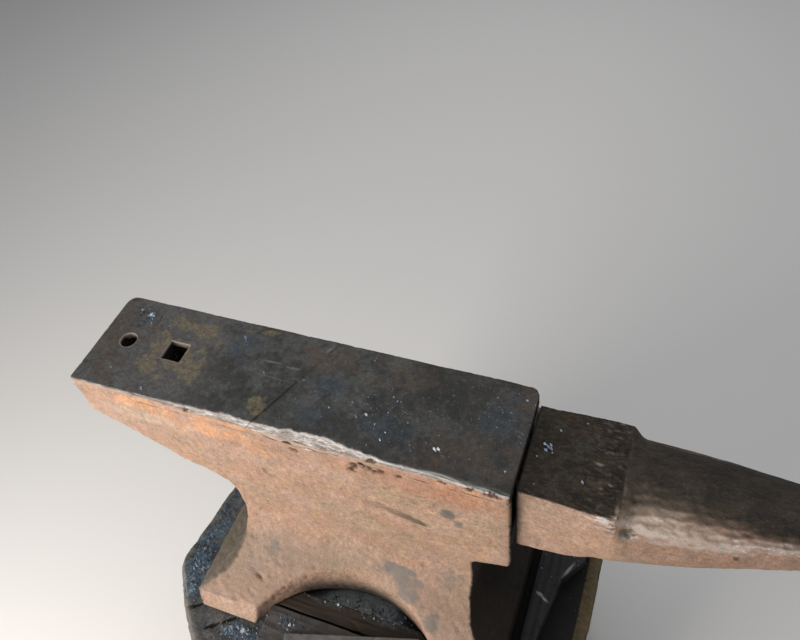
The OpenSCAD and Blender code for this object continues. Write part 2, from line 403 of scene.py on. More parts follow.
def finishPiece(piece, finish, slot, *nodes):
    piece.data.materials.clear()
    piece.data.materials.append(finish)
    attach(piece, "root")
    if nodes:
        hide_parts(*nodes)
    faces = sum(len(face.vertices) - 2 for face in piece.data.polygons)
    print("anvil:", piece.name, "made with", faces, "triangles")


# Rust and wear that the body, the face and the horn block share, and their painted shade

ironTones = {
    "tan": (0.33, 0.208, 0.145),
    "pink": (0.36, 0.238, 0.185),
    "orange": (0.5, 0.265, 0.145),
    "yellow": (0.5, 0.35, 0.19),
    "red": (0.36, 0.175, 0.105),
    "olive": (0.225, 0.185, 0.135),
    # painted shade on the heel side of the feet
    "flankShade": (0.088, 0.079, 0.058),
    "dust": (0.3, 0.235, 0.185),
    "worn": (0.138, 0.12, 0.108),
    "streak": (0.075, 0.06, 0.045),
    # painted shade in the tool holes, the joint and on the front under the horn
    "paintedShade": (0.013, 0.0115, 0.009),
    "pit": (0.05, 0.023, 0.013),
    "cream": (0.42, 0.325, 0.26),
    "pale": (0.52, 0.4, 0.31),
    "bright": (0.74, 0.68, 0.63),
}


def rustColour(tree):
    # tan and pink rust with yellow, orange and olive drifts
    tones = ironTones
    soft = patchy(tree, (0.06, 0.06, 0.04), 6.0, 0.6, 1.0, 0.42, 0.58)
    colour = blend(tree, soft, tones["tan"], tones["pink"])
    drift = patchy(tree, (0.06, 0.06, 0.05), 6.0, 0.62, 4.0, 0.47, 0.62)
    colour = blend(tree, times(tree, drift, 0.45), colour, tones["olive"])
    yellow = patchy(tree, (0.01, 0.01, 0.014), 6.0, 0.7, 14.0, 0.5, 0.66)
    yellow = times(tree, yellow, sums(tree, "ADD", times(tree, layer(tree, "orange"), 0.6), 0.25))
    colour = blend(tree, yellow, colour, tones["yellow"])
    orange = patchy(tree, (0.018, 0.018, 0.022), 6.0, 0.7, 9.0, 0.34, 0.58)
    orange = times(tree, orange, sums(tree, "ADD", layer(tree, "orange"), 0.15))
    colour = blend(tree, orange, colour, tones["orange"])
    redPatch = patchy(tree, (0.016, 0.016, 0.02), 5.0, 0.7, 6.0, 0.2, 0.5)
    colour = blend(tree, times(tree, times(tree, layer(tree, "red"), redPatch), 0.75), colour, tones["red"])
    pale = times(tree, layer(tree, "pale"), uneven(tree, (0.012, 0.012, 0.016), 5.0, 0.7, 16.0, 0.45, 1.0))
    colour = blend(tree, pale, colour, tones["pale"])
    creases = times(tree, veins(tree, (0.011, 0.011, 0.015), 0.022, 19.0), drift)
    colour = blend(tree, times(tree, creases, 0.35), colour, tones["yellow"])
    fibres = grain(tree, (0.016, 0.016, 0.0034), 5.0, 0.72, 47.0)
    ochre = times(tree, layer(tree, "fibrous"), between(tree, fibres, 0.5, 0.66))
    colour = blend(tree, times(tree, ochre, 0.75), colour, tones["yellow"])
    dull = times(tree, layer(tree, "fibrous"), between(tree, fibres, 0.5, 0.36))
    colour = blend(tree, times(tree, dull, 0.75), colour, tones["olive"])
    ticks = patchy(tree, (0.007, 0.007, 0.003), 4.0, 0.7, 49.0, 0.6, 0.7)
    ticks = times(tree, ticks, sums(tree, "ADD", times(tree, layer(tree, "fibrous"), 0.4), 0.15))
    colour = blend(tree, ticks, colour, tones["pale"])
    specks = patchy(tree, (0.004, 0.004, 0.0056), 3.0, 0.6, 23.0, 0.6, 0.7)
    colour = blend(tree, times(tree, specks, 0.35), colour, tones["cream"])
    spots = patchy(tree, (0.0046, 0.0046, 0.0064), 3.0, 0.6, 27.0, 0.61, 0.72)
    colour = blend(tree, times(tree, spots, 0.4), colour, tones["streak"])
    colour = mottled(tree, colour, (0.018, 0.018, 0.024), 0.86, 1.13, 7.0)
    colour = mottled(tree, colour, (0.006, 0.006, 0.0085), 0.78, 1.18, 2.0)
    colour = mottled(tree, colour, (0.0023, 0.0023, 0.0034), 0.71, 1.25, 5.0)
    worn = times(tree, layer(tree, "worn"), uneven(tree, 0.006, 4.0, 0.6, 3.0, 0.9, 1.0))
    colour = blend(tree, worn, colour, tones["worn"])
    colour = laid(tree, "streak", 0.8, colour, tones["streak"])
    return colour


def withPaintedShade(tree, colour):
    # lays the painted shade of the tool holes, the joint and the front under the horn
    return blend(tree, layer(tree, "paintedShade"), colour, ironTones["paintedShade"])


# The body: a forged block on four feet, rusted, with dents and cuts

bodyWork = {
    "cell": 0.00262,
    "softening": 1,
    "cornerReach": 0.0013,
    "broadCell": 0.07,
    "broadDepth": 0.0009,
    "dentCell": 0.02,
    "dentDepth": 0.0013,
    "skinCell": 0.0065,
    "skinDepth": 0.0004,
    "pitCell": 0.009,
    "pitShare": 0.14,
    "pitDepth": 0.0013,
    # the rims of the arches: radius at the stump, how it grows with height, where they are worn soft
    "archX": 0.001,
    "archY": 0.2321,
    "archRadius": 0.1456,
    "archFlare": 0.186,
    "rimReach": (0.005, 0.017),
    "rimHeights": (0.5, 0.555),
    "rimRounds": 70,
    # deep pits under the near edge of the face: place and radius along X, Y and Z
    "deepPits": [
        ((0.0278, -0.0635, 0.7855), (0.005, 0.006, 0.0045)),
        ((0.0345, -0.0635, 0.783), (0.004, 0.005, 0.006)),
        ((0.0395, -0.0635, 0.7795), (0.004, 0.004, 0.0055)),
        ((0.0465, -0.0635, 0.7835), (0.0035, 0.005, 0.005)),
        ((0.0185, -0.0635, 0.782), (0.0045, 0.004, 0.006)),
        ((0.0141, -0.0635, 0.7708), (0.0045, 0.004, 0.004)),
        ((-0.05, -0.0635, 0.7775), (0.005, 0.004, 0.004)),
        ((0.0655, -0.0635, 0.784), (0.005, 0.004, 0.003)),
    ],
    "cornerSpread": 0.0042,
    # cuts: start, end, half width, depth
    "cuts": [
        ((-0.1357, -0.1217, 0.5378), (-0.1214, -0.129, 0.5345), 0.0022, 0.003),
        ((-0.145, -0.119, 0.5395), (-0.134, -0.1205, 0.5385), 0.0018, 0.0012),
    ],
    # each patch: centre, radius along X, Y and Z, and strength if not 1
    "orange": [
        ((-0.235, -0.0635, 0.783), (0.06, 0.01, 0.016)),
        ((-0.17, -0.0635, 0.77), (0.055, 0.01, 0.02)),
        ((-0.12, -0.0635, 0.772), (0.04, 0.01, 0.014), 0.7),
        ((-0.1, -0.0635, 0.75), (0.04, 0.01, 0.012), 0.4),
        ((0.13, -0.0635, 0.778), (0.03, 0.01, 0.014), 0.7),
        ((0.135, -0.0635, 0.655), (0.02, 0.01, 0.01), 0.5),
    ],
    "red": [
        ((0.1, -0.0635, 0.775), (0.1, 0.012, 0.024), 0.7),
        ((0.125, -0.0635, 0.772), (0.045, 0.012, 0.022)),
        ((0.02, -0.0635, 0.778), (0.06, 0.012, 0.014), 0.5),
    ],
    "pale": [
        ((-0.16, -0.1645, 0.4975), (0.06, 0.007, 0.03), 0.2),
        ((-0.235, -0.0635, 0.757), (0.07, 0.01, 0.013), 0.4),
        ((-0.13, -0.105, 0.545), (0.03, 0.02, 0.02), 0.4),
    ],
    "worn": [
        ((0.04, -0.0765, 0.5638), (0.029, 0.011, 0.0095)),
        ((0.053, -0.083, 0.5585), (0.023, 0.013, 0.012)),
        ((0.0625, -0.0965, 0.55), (0.014, 0.013, 0.011)),
        ((0.0945, -0.1145, 0.541), (0.011, 0.014, 0.013)),
        ((0.108, -0.0705, 0.573), (0.018, 0.012, 0.02), 0.4),
        ((-0.1204, -0.0907, 0.5525), (0.009, 0.011, 0.01), 0.8),
        ((-0.138, -0.1165, 0.5405), (0.02, 0.014, 0.012), 0.35),
        ((0.1136, -0.0635, 0.733), (0.0095, 0.01, 0.0125)),
        ((0.1228, -0.0635, 0.7145), (0.006, 0.01, 0.0085), 0.9),
    ],
    "streak": [
        ((0.113, -0.0635, 0.736), (0.006, 0.01, 0.007), 0.4),
        ((-0.104, -0.0635, 0.707), (0.0035, 0.01, 0.009), 0.8),
        ((-0.099, -0.0635, 0.7), (0.003, 0.01, 0.005), 0.6),
    ],
    # ochre fibres drawn out along the side
    "fibrous": [
        ((0.085, -0.0635, 0.715), (0.1, 0.012, 0.045)),
        ((0.14, -0.0635, 0.69), (0.05, 0.012, 0.05), 0.8),
        ((0.02, -0.0635, 0.745), (0.07, 0.012, 0.02), 0.6),
    ],
    # a long dark stain on the near side: its ends, and half widths there
    "stain": ((0.006, -0.0635, 0.713), (0.083, -0.0635, 0.6905), 0.0125, 0.0075),
    # painted shade on the heel side of the feet, up to this line across the feet
    "flankShadeY": (0.0, 0.0648, 0.0879, 0.1033, 0.1254, 0.1421, 0.1556, 0.17),
    "flankShadeX": (-0.17, -0.168, -0.1618, -0.1648, -0.1705, -0.1859, -0.198, -0.208),
}


def ironSkin(points, work, seed):
    # forging unevenness, shallow dents, pits and a sandy skin, as a move along the normal
    move = work["broadDepth"] * noiseOver(points, work["broadCell"], 2, seed)
    dents = np.clip(noiseOver(points, work["dentCell"], 2, seed + 1) - 0.15, 0, 1)
    move -= work["dentDepth"] * dents
    move += work["skinDepth"] * noiseOver(points, work["skinCell"], 3, seed + 2)
    move -= work["pitDepth"] * pitsOver(points, work["pitCell"], work["pitShare"], seed + 3)
    return move


def ballPits(points, pits):
    depth = np.zeros(len(points))
    wobble = 0.55 * noiseOver(points, 0.0035, 2, 3.0)
    for centre, radii in pits:
        distance = np.linalg.norm((points - np.array(centre)) / np.array(radii), axis=1) + wobble
        depth = np.maximum(depth, min(radii) * 0.7 * np.clip(1 - distance ** 2, 0, 1))
    return depth


def squareBack(mesh, side, level, reach):
    # gives the near edge at this height its corner back, so that two pieces meet without a groove
    points = getPoints(mesh)
    atEdge = (np.abs(points[:, 1] - side) < reach) & (np.abs(points[:, 2] - level) < reach)
    points[atEdge, 1] = side
    points[atEdge, 2] = level
    setPoints(mesh, points)
    mesh.edges.foreach_set("use_edge_sharp", atEdge[getEdges(mesh)].all(axis=1))


def makeBody(work):
    body = evenSkin("anvil_body", "anvilBody", work["cell"], work["softening"])
    mesh = body.data
    squareBack(mesh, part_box("face_plate_front")[0].y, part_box("anvil_body")[1].z, work["cornerReach"])
    points = getPoints(mesh)
    easeEdges(mesh, archRims(points, work), work["rimRounds"])
    points = getPoints(mesh)
    normals = getNormals(mesh)
    move = ironSkin(points, work, 1.0)
    cuts = cutsOver(points, work["cuts"])
    pits = ballPits(points, work["deepPits"])
    move -= cuts + pits
    low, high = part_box("anvil_body")
    hidden = smoothStep(points[:, 2], high.z - 0.002, high.z)
    hidden += smoothStep(points[:, 2], low.z + 0.003, low.z)
    move *= 1 - np.clip(hidden, 0, 1)
    points = points + normals * move[:, None]
    setPoints(mesh, spreadCorner(points, work["cornerSpread"]))
    paintIron(mesh, work)
    paintBody(mesh, work)
    paintLayer(mesh, "hollow", np.clip(np.maximum(pits / 0.001, cuts / 0.0018), 0, 1))
    return body


def spreadCorner(points, spread):
    # the near corner at the joint is beaten a little towards the horn block
    share = smoothStep(points[:, 0], 0.158, 0.168) * (1 - smoothStep(points[:, 1], -0.058, -0.053))
    spreadPoints = points.copy()
    spreadPoints[:, 0] += spread * share * smoothStep(points[:, 2], 0.64, 0.65)
    return spreadPoints


def paintBody(mesh, work):
    # the stain on the near side, and painted shade low down in the arches and on the heel side of the feet
    points = getPoints(mesh)
    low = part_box("anvil_body")[0]
    paintLayer(mesh, "stain", stainOver(points, *work["stain"]))
    # painted shade on the walls of the arches, darker low down towards the stump
    onWall = 1 - smoothStep(archDistance(points, work), 0.002, 0.0065)
    lowDown = 1 - smoothStep(points[:, 2] - low.z, 0.024, 0.066)
    paintLayer(mesh, "archShade", onWall * lowDown * (1 - smoothStep(np.abs(points[:, 0]), 0.07, 0.1)))
    # painted shade on the heel side of the feet, up to a line across them
    edge = np.interp(np.abs(points[:, 1]), work["flankShadeY"], work["flankShadeX"])
    flankShade = 1 - smoothStep(points[:, 0] - edge, -0.0015, 0.003)
    paintLayer(mesh, "flankShade", flankShade * (1 - smoothStep(points[:, 2], 0.6, 0.64)))


def archDistance(points, work):
    # distance outwards from the hollow wall of the nearer arch
    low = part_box("anvil_body")[0]
    fromAxis = np.hypot(points[:, 0] - work["archX"], np.abs(points[:, 1]) - work["archY"])
    return fromAxis - work["archRadius"] - work["archFlare"] * (points[:, 2] - low.z)


def archRims(points, work):
    # 1 along the rims between the sides of the body and the arches
    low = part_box("anvil_body")[0]
    near = 1 - smoothStep(np.abs(archDistance(points, work)), *work["rimReach"])
    return near * smoothStep(points[:, 2], *work["rimHeights"]) * (points[:, 2] < low.z + 0.16)


def stainOver(points, start, end, wide, narrow):
    # a soft stain that grows narrower and darker towards its end
    a = np.array(start)
    along = np.array(end) - a
    share = np.clip(((points - a) @ along) / (along @ along), 0, 1)
    gap = np.linalg.norm(points - a - share[:, None] * along, axis=1)
    gap += 0.002 * noiseOver(points, 0.012, 3, 4.0)
    reach = wide + (narrow - wide) * share
    return smoothStep(1 - gap / reach, 0.0, 0.6) * (0.3 + 0.7 * share ** 1.3) * smoothStep(share, 0.0, 0.2)


def paintIron(mesh, work):
    points = getPoints(mesh)
    normals = getNormals(mesh)
    for name in ("orange", "red", "pale", "worn", "streak", "fibrous"):
        paintLayer(mesh, name, patchesOver(points, work.get(name, []), 0.5, 0.016, len(name)))
    paintLayer(mesh, "edge", np.clip(standOut(mesh, 2, 0.0004), 0, 1))
    paintLayer(mesh, "upward", np.clip(normals[:, 2], 0, 1))
    # painted shade in the tool holes, in the joint and on the front under the horn
    paintedShade = np.maximum(inHoles(points, normals), inJoint(points, normals))
    paintLayer(mesh, "paintedShade", np.maximum(paintedShade, underHorn(points, normals)))


def underHorn(points, normals):
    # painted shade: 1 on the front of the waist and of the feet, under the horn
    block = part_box("horn_block")[0]
    low = smoothStep(points[:, 0], 0.125, 0.135) * (1 - smoothStep(points[:, 2], 0.655, 0.665))
    facing = smoothStep(normals[:, 0] - 0.6 * np.abs(normals[:, 1]), 0.0, 0.3)
    return 0.95 * low * facing * (points[:, 0] < block.x + 0.2)


def litWall(normals):
    # how much lower the light falls on the wall of a hole that faces the main light
    return 0.0052 * smoothStep(-normals[:, 1], 0.3, 0.8)


def inHoles(points, normals):
    # painted shade: 1 on the walls of the two tool holes, from a little below the rim, starting lower on
    # the wall that faces the main light
    places = {mount["name"]: mount["pos_m"] for mount in frame["record"]["mounts"]}
    hardy, pritchel = places["hardy_hole"], places["pritchel_hole"]
    square = np.maximum(np.abs(points[:, 0] - hardy[0]), np.abs(points[:, 1] - hardy[1]))
    inside = 1 - smoothStep(square, 0.0136, 0.0146)
    away = np.hypot(points[:, 0] - pritchel[0], points[:, 1] - pritchel[1])
    inside = np.maximum(inside, 1 - smoothStep(away, 0.0108, 0.0118))
    top = hardy[2]
    return inside * (1 - smoothStep(points[:, 2] + litWall(normals), top - 0.0045, top - 0.0018))


def holeRims(points, normals, top):
    # 1 on the upper rims of the two tool holes: rust, with painted light reaching lower on the wall that
    # faces the main light
    places = {mount["name"]: mount["pos_m"] for mount in frame["record"]["mounts"]}
    near = np.zeros(len(points))
    for name in ("hardy_hole", "pritchel_hole"):
        away = np.hypot(points[:, 0] - places[name][0], points[:, 1] - places[name][1])
        near = np.maximum(near, 1 - smoothStep(away, 0.019, 0.022))
    return near * smoothStep(points[:, 2] + litWall(normals), top - 0.0045, top - 0.002)


def inJoint(points, normals):
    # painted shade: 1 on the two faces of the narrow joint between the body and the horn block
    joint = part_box("face_plate_front")[1].x
    near = 1 - smoothStep(np.abs(points[:, 0] - joint), 0.0045, 0.0065)
    behind = smoothStep(points[:, 1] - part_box("face_plate_front")[0].y, 0.001, 0.003)
    onTop = smoothStep(points[:, 2], 0.79, 0.796)
    return near * behind * smoothStep(np.abs(normals[:, 0]) + 0.12 * onTop, 0.3, 0.6)


def bodyFinish():
    finish, tree, shader = startFinish("rustyBodyIron")
    colour = rustColour(tree)
    # stain and pits, dust on the feet, painted shade on the heel side, low in the arches, in the holes, the
    # joint and under the horn, and edges rubbed in places
    colour = laid(tree, "stain", 0.95, colour, ironTones["streak"])
    colour = laid(tree, "hollow", 0.92, colour, ironTones["pit"])
    dust = between(tree, layer(tree, "upward"), 0.4, 0.85)
    colour = blend(tree, times(tree, dust, 0.4), colour, ironTones["dust"])
    # painted shade on the heel side of the feet
    dull = times(tree, layer(tree, "flankShade"), uneven(tree, 0.012, 5.0, 0.7, 18.0, 0.8, 1.0))
    colour = blend(tree, dull, colour, ironTones["flankShade"])
    # painted shade low down in the arches
    colour = laid(tree, "archShade", 0.93, colour, ironTones["paintedShade"])
    rubbed = times(tree, layer(tree, "edge"), patchy(tree, 0.012, 4.0, 0.6, 3.0, 0.45, 0.65))
    colour = blend(tree, times(tree, rubbed, 0.3), colour, ironTones["cream"])
    # painted shade in the tool holes, the joint and on the front under the horn
    colour = withPaintedShade(tree, colour)
    plug(tree, shader.inputs["Base Color"], colour)
    rough = sums(tree, "SUBTRACT", 0.82, times(tree, layer(tree, "worn"), 0.2))
    plug(tree, shader.inputs["Roughness"], rough)
    shader.inputs["Metallic"].default_value = 0.0
    shader.inputs["Specular IOR Level"].default_value = 0.3
    raised(tree, shader, grain(tree, (0.003, 0.003, 0.0044), 6.0, 0.7, 8.0), 0.001, 0.85)
    return finish


finishPiece(makeBody(bodyWork), bodyFinish(), "body_iron", "anvil_body")


# The face: two steel plates with a seam, worn along the near edge

faceWork = {
    "cell": 0.0012,
    "softening": 1,
    "cornerReach": 0.0006,
    "seamReach": 0.0013,
    "seamOpenTo": -0.034,  # along Y
    "broadCell": 0.06,
    "broadDepth": 0.0004,
    "dentCell": 0.014,
    "dentDepth": 0.0006,
    "skinCell": 0.004,
    "skinDepth": 0.00012,
    "pitCell": 0.0075,
    "pitShare": 0.06,
    "pitDepth": 0.0004,
    # how far in from the near edge the top is worn down, at places along X, and how steeply
    "edgeAt": (-0.3, -0.25, -0.2, -0.155, -0.118, -0.1, -0.066, -0.05, -0.028, -0.006,
               0.016, 0.043, 0.056, 0.1, 0.12, 0.15),
    "edgeWidth": (0.0015, 0.0025, 0.005, 0.007, 0.0078, 0.0072, 0.0082, 0.0105, 0.012, 0.01,
                  0.0078, 0.006, 0.004, 0.0045, 0.0032, 0.0026),
    "edgeDrop": 0.4,
    # how far in the bright line lies where the edge is worn little
    "lineAt": (-0.3, -0.2, 0.05, 0.07, 0.1, 0.12, 0.15),
    "lineIn": (0.0012, 0.003, 0.0028, 0.003, 0.0034, 0.0022, 0.001),
    # how far down the near side the bruised steel reaches below the worn edge
    "bandAt": (-0.3, -0.1, -0.078, -0.062, -0.03, -0.01, 0.01, 0.06),
    "bandReach": (0.0006, 0.0012, 0.004, 0.0115, 0.0115, 0.006, 0.0022, 0.0008),
    "leafCell": (0.018, 0.0042, 0.0042),
    "leafHeight": 0.0013,
    # the thin lip that hammering raised along the edge
    "lipHeight": 0.0006,
    "orange": [
        ((-0.225, -0.0635, 0.785), (0.055, 0.004, 0.016)),
        ((-0.13, -0.0635, 0.785), (0.05, 0.004, 0.02)),
        ((0.13, -0.0635, 0.79), (0.03, 0.004, 0.014)),
    ],
    "red": [
        ((0.1, -0.0635, 0.785), (0.085, 0.004, 0.018), 0.8),
    ],
    "ochre": [
        ((-0.226, 0.002, 0.8), (0.034, 0.034, 0.02)),
        ((-0.2, 0.037, 0.8), (0.022, 0.015, 0.02)),
        ((-0.196, -0.018, 0.8), (0.02, 0.024, 0.02)),
        ((-0.248, -0.018, 0.8), (0.02, 0.015, 0.02)),
        ((-0.242, 0.04, 0.8), (0.024, 0.01, 0.02)),
        ((-0.126, 0.056, 0.8), (0.012, 0.006, 0.02)),
        ((-0.158, 0.052, 0.8), (0.008, 0.005, 0.02)),
        ((-0.0996, -0.036, 0.8), (0.017, 0.013, 0.02)),
    ],
    "blue": [
        ((-0.158, 0.031, 0.8), (0.026, 0.02, 0.02)),
        ((-0.284, 0.041, 0.8), (0.019, 0.011, 0.02)),
        ((-0.036, 0.009, 0.8), (0.02, 0.014, 0.02)),
        ((-0.04, -0.032, 0.8), (0.03, 0.012, 0.02)),
        ((0.044, -0.025, 0.8), (0.03, 0.02, 0.02)),
        ((0.144, 0.016, 0.8), (0.03, 0.026, 0.02)),
    ],
    "brown": [
        ((-0.045, 0.035, 0.8), (0.055, 0.02, 0.02)),
        ((0.04, 0.04, 0.8), (0.04, 0.02, 0.02)),
        ((-0.3, 0.005, 0.8), (0.04, 0.055, 0.02)),
        ((0.13, -0.035, 0.8), (0.06, 0.03, 0.02)),
        ((0.165, 0.045, 0.8), (0.02, 0.025, 0.02)),
    ],
    "speckled": [
        ((0.03, 0.0, 0.8), (0.045, 0.035, 0.02)),
        ((0.135, 0.025, 0.8), (0.045, 0.03, 0.02)),
        ((0.08, -0.015, 0.8), (0.04, 0.03, 0.02)),
        ((-0.284, 0.041, 0.8), (0.026, 0.012, 0.02)),
        ((-0.08, 0.0, 0.8), (0.04, 0.03, 0.02)),
    ],
    # scratches on the top: start, end, half width, depth
    "scratches": [
        ((-0.1222, 0.0189, 0.8), (-0.0991, 0.0197, 0.8), 0.0016, 0.0002),
        ((-0.094, 0.0169, 0.8), (-0.0741, 0.0183, 0.8), 0.0016, 0.0002),
        ((-0.0594, 0.0463, 0.8), (-0.052, 0.0569, 0.8), 0.0018, 0.0002),
        ((-0.1225, 0.0006, 0.8), (-0.0676, -0.0003, 0.8), 0.0011, 0.0001),
    ],
    # dark chips out of the near edge: place and radius along X, Y and Z
    "chips": [
        ((0.1105, -0.0625, 0.7965), (0.007, 0.004, 0.0022)),
        ((0.138, -0.0625, 0.7972), (0.0055, 0.004, 0.0026)),
        ((0.1585, -0.0625, 0.7968), (0.0085, 0.004, 0.003)),
        ((0.0371, -0.0625, 0.797), (0.006, 0.003, 0.0026)),
        ((-0.173, -0.062, 0.797), (0.004, 0.003, 0.003)),
        ((-0.0547, -0.0635, 0.7895), (0.0065, 0.003, 0.0028)),
    ],
    # dark creases in the bruised steel: start, end, half width, depth
    "creases": [
        ((-0.086, -0.0635, 0.793), (-0.066, -0.0635, 0.787), 0.0014, 0.0009),
        ((-0.064, -0.0635, 0.7865), (-0.047, -0.0635, 0.7855), 0.0014, 0.0009),
        ((-0.035, -0.0635, 0.7915), (-0.018, -0.0635, 0.787), 0.0013, 0.0008),
        ((-0.052, -0.0635, 0.7965), (-0.03, -0.0635, 0.795), 0.0012, 0.0008),
        ((-0.01, -0.0635, 0.7925), (0.008, -0.0635, 0.7915), 0.0012, 0.0008),
    ],
    # proud crumbs of steel on the near edge: place and radius along X, Y and Z
    "lumps": [
        ((-0.03, -0.0635, 0.7865), (0.012, 0.0025, 0.0024)),
        ((-0.045, -0.0635, 0.7825), (0.008, 0.0025, 0.002)),
    ],
}


def makePlate(node, name, work):
    plate = evenSkin(node, name, work["cell"], work["softening"])
    mesh = plate.data
    low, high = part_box(node)
    squareBack(mesh, low.y, low.z, work["cornerReach"])
    nearY = low.y
    top = high.z
    squareSeam(mesh, top, work)
    points = getPoints(mesh)
    normals = getNormals(mesh)
    below = 1 - smoothStep(points[:, 2], low.z, low.z + 0.003)
    move = ironSkin(points, work, 5.0) * (1 - below)
    points = points + normals * move[:, None]
    points = wearNearEdge(points, nearY, top, work)
    chipped = ballPits(points, work["chips"] + bodyWork["deepPits"])
    chipped = np.maximum(chipped, cutsOver(points, work["creases"]))
    lumps = ballPits(points, work["lumps"])
    points[:, 1] += chipped - 0.5 * lumps
    setPoints(mesh, points)
    paintIron(mesh, work)
    for layerName in ("ochre", "blue", "brown", "speckled"):
        paintLayer(mesh, layerName, patchesOver(points, work[layerName], 0.9, 0.018, len(layerName) + 2.0))
    paintLayer(mesh, "scratch", np.clip(cutsOver(points, work["scratches"]) / 0.0001, 0, 1))
    paintLayer(mesh, "chip", np.clip(chipped / 0.0006, 0, 1))
    paintLayer(mesh, "lump", np.clip(lumps / 0.0006, 0, 1))
    seam = 1 - smoothStep(seamDistance(points), 0.0009, 0.0024)
    seam *= smoothStep(points[:, 2], top - 0.003, top - 0.001)
    paintLayer(mesh, "seam", seam)
    paintLayer(mesh, "openSeam", seam * (1 - 0.9 * smoothStep(points[:, 1], -0.03, 0.01)))
    paintLayer(mesh, "holeRim", holeRims(points, normals, top) * (normals[:, 2] < 0.93))
    fromFront = points[:, 0] + 0.02 * noiseOver(points, 0.04, 3, 9.0)
    paintLayer(mesh, "frontPart", smoothStep(fromFront, 0.0, 0.07))
    fromHeel = points[:, 0] + 0.03 * noiseOver(points, 0.05, 3, 8.0)
    paintLayer(mesh, "heelPart", 1 - smoothStep(fromHeel, -0.22, -0.12))
    paintNearEdge(mesh, points, nearY, top, work)
    return plate


def squareSeam(mesh, top, work):
    # past the worn part the two plates meet without a groove
    points = getPoints(mesh)
    reach = work["seamReach"]
    atSeam = (seamDistance(points) < reach) & (points[:, 2] > top - reach)
    atSeam &= points[:, 1] > work["seamOpenTo"]
    points[atSeam, 2] = top
    setPoints(mesh, points)
    sharp = np.zeros(len(mesh.edges), dtype=bool)
    mesh.edges.foreach_get("use_edge_sharp", sharp)
    mesh.edges.foreach_set("use_edge_sharp", sharp | atSeam[getEdges(mesh)].all(axis=1))


def seamDistance(points):
    # distance from the slanting seam between the two plates, seen from above
    start = Vector((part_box("face_plate_front")[0].x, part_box("face_plate_front")[0].y))
    end = Vector((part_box("face_plate_heel")[1].x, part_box("face_plate_heel")[1].y))
    along = (end - start).normalized()
    return np.abs((points[:, 0] - start.x) * along.y - (points[:, 1] - start.y) * along.x)


def worstWear(points, work):
    # 1 where the near edge was struck most
    return smoothStep(np.interp(points[:, 0], work["edgeAt"], work["edgeWidth"]), 0.0045, 0.0065)


def alongEdge(points):
    return np.stack([points[:, 0], points[:, 0] * 0, points[:, 0] * 0], axis=1)


def nearEdgeWidth(points, work):
    # how far the near edge is worn in, along X
    wave = noiseOver(alongEdge(points), 0.016, 4, 11.0)
    return np.interp(points[:, 0], work["edgeAt"], work["edgeWidth"]) * (1 + 0.28 * wave)


def wearNearEdge(points, nearY, top, work):
    # slope the near top edge off, in drawn-out leaves like struck and folded steel
    width = nearEdgeWidth(points, work)
    inward = points[:, 1] - nearY
    leaves = noiseOver(points, work["leafCell"], 3, 21.0)
    slope = width - inward + leaves * work["leafHeight"]
    drop = np.clip(slope, 0, None) * work["edgeDrop"]
    drop = np.minimum(drop, np.clip(points[:, 2] - (top - 0.0115), 0, None) * 0.95)
    shaped = points.copy()
    shaped[:, 2] -= drop
    nearFace = 1 - smoothStep(inward, 0.0005, 0.003)
    shaped[:, 1] += nearFace * np.clip(-leaves, 0, 1) * work["leafHeight"] * 0.8
    lip = nearLip(shaped, nearY, top, work) * np.minimum(1, drop / 0.0008)
    shaped[:, 2] += lip * work["lipHeight"]
    return shaped


def nearLip(points, nearY, top, work):
    # 1 along the bright line near the edge, which follows the top of the worn slope where it is wide
    around = points[:, 1] - nearY - (top - points[:, 2])
    struck = worstWear(points, work)
    line = np.interp(points[:, 0], work["lineAt"], work["lineIn"])
    line += 0.0006 * noiseOver(alongEdge(points), 0.02, 3, 3.0)
    line += struck * 0.0008 * noiseOver(points, (0.009, 0.003, 0.003), 3, 29.0)
    place = struck * (nearEdgeWidth(points, work) - 0.0018) + (1 - struck) * line
    return bump(around, place, 0.0012 + 0.0004 * struck)


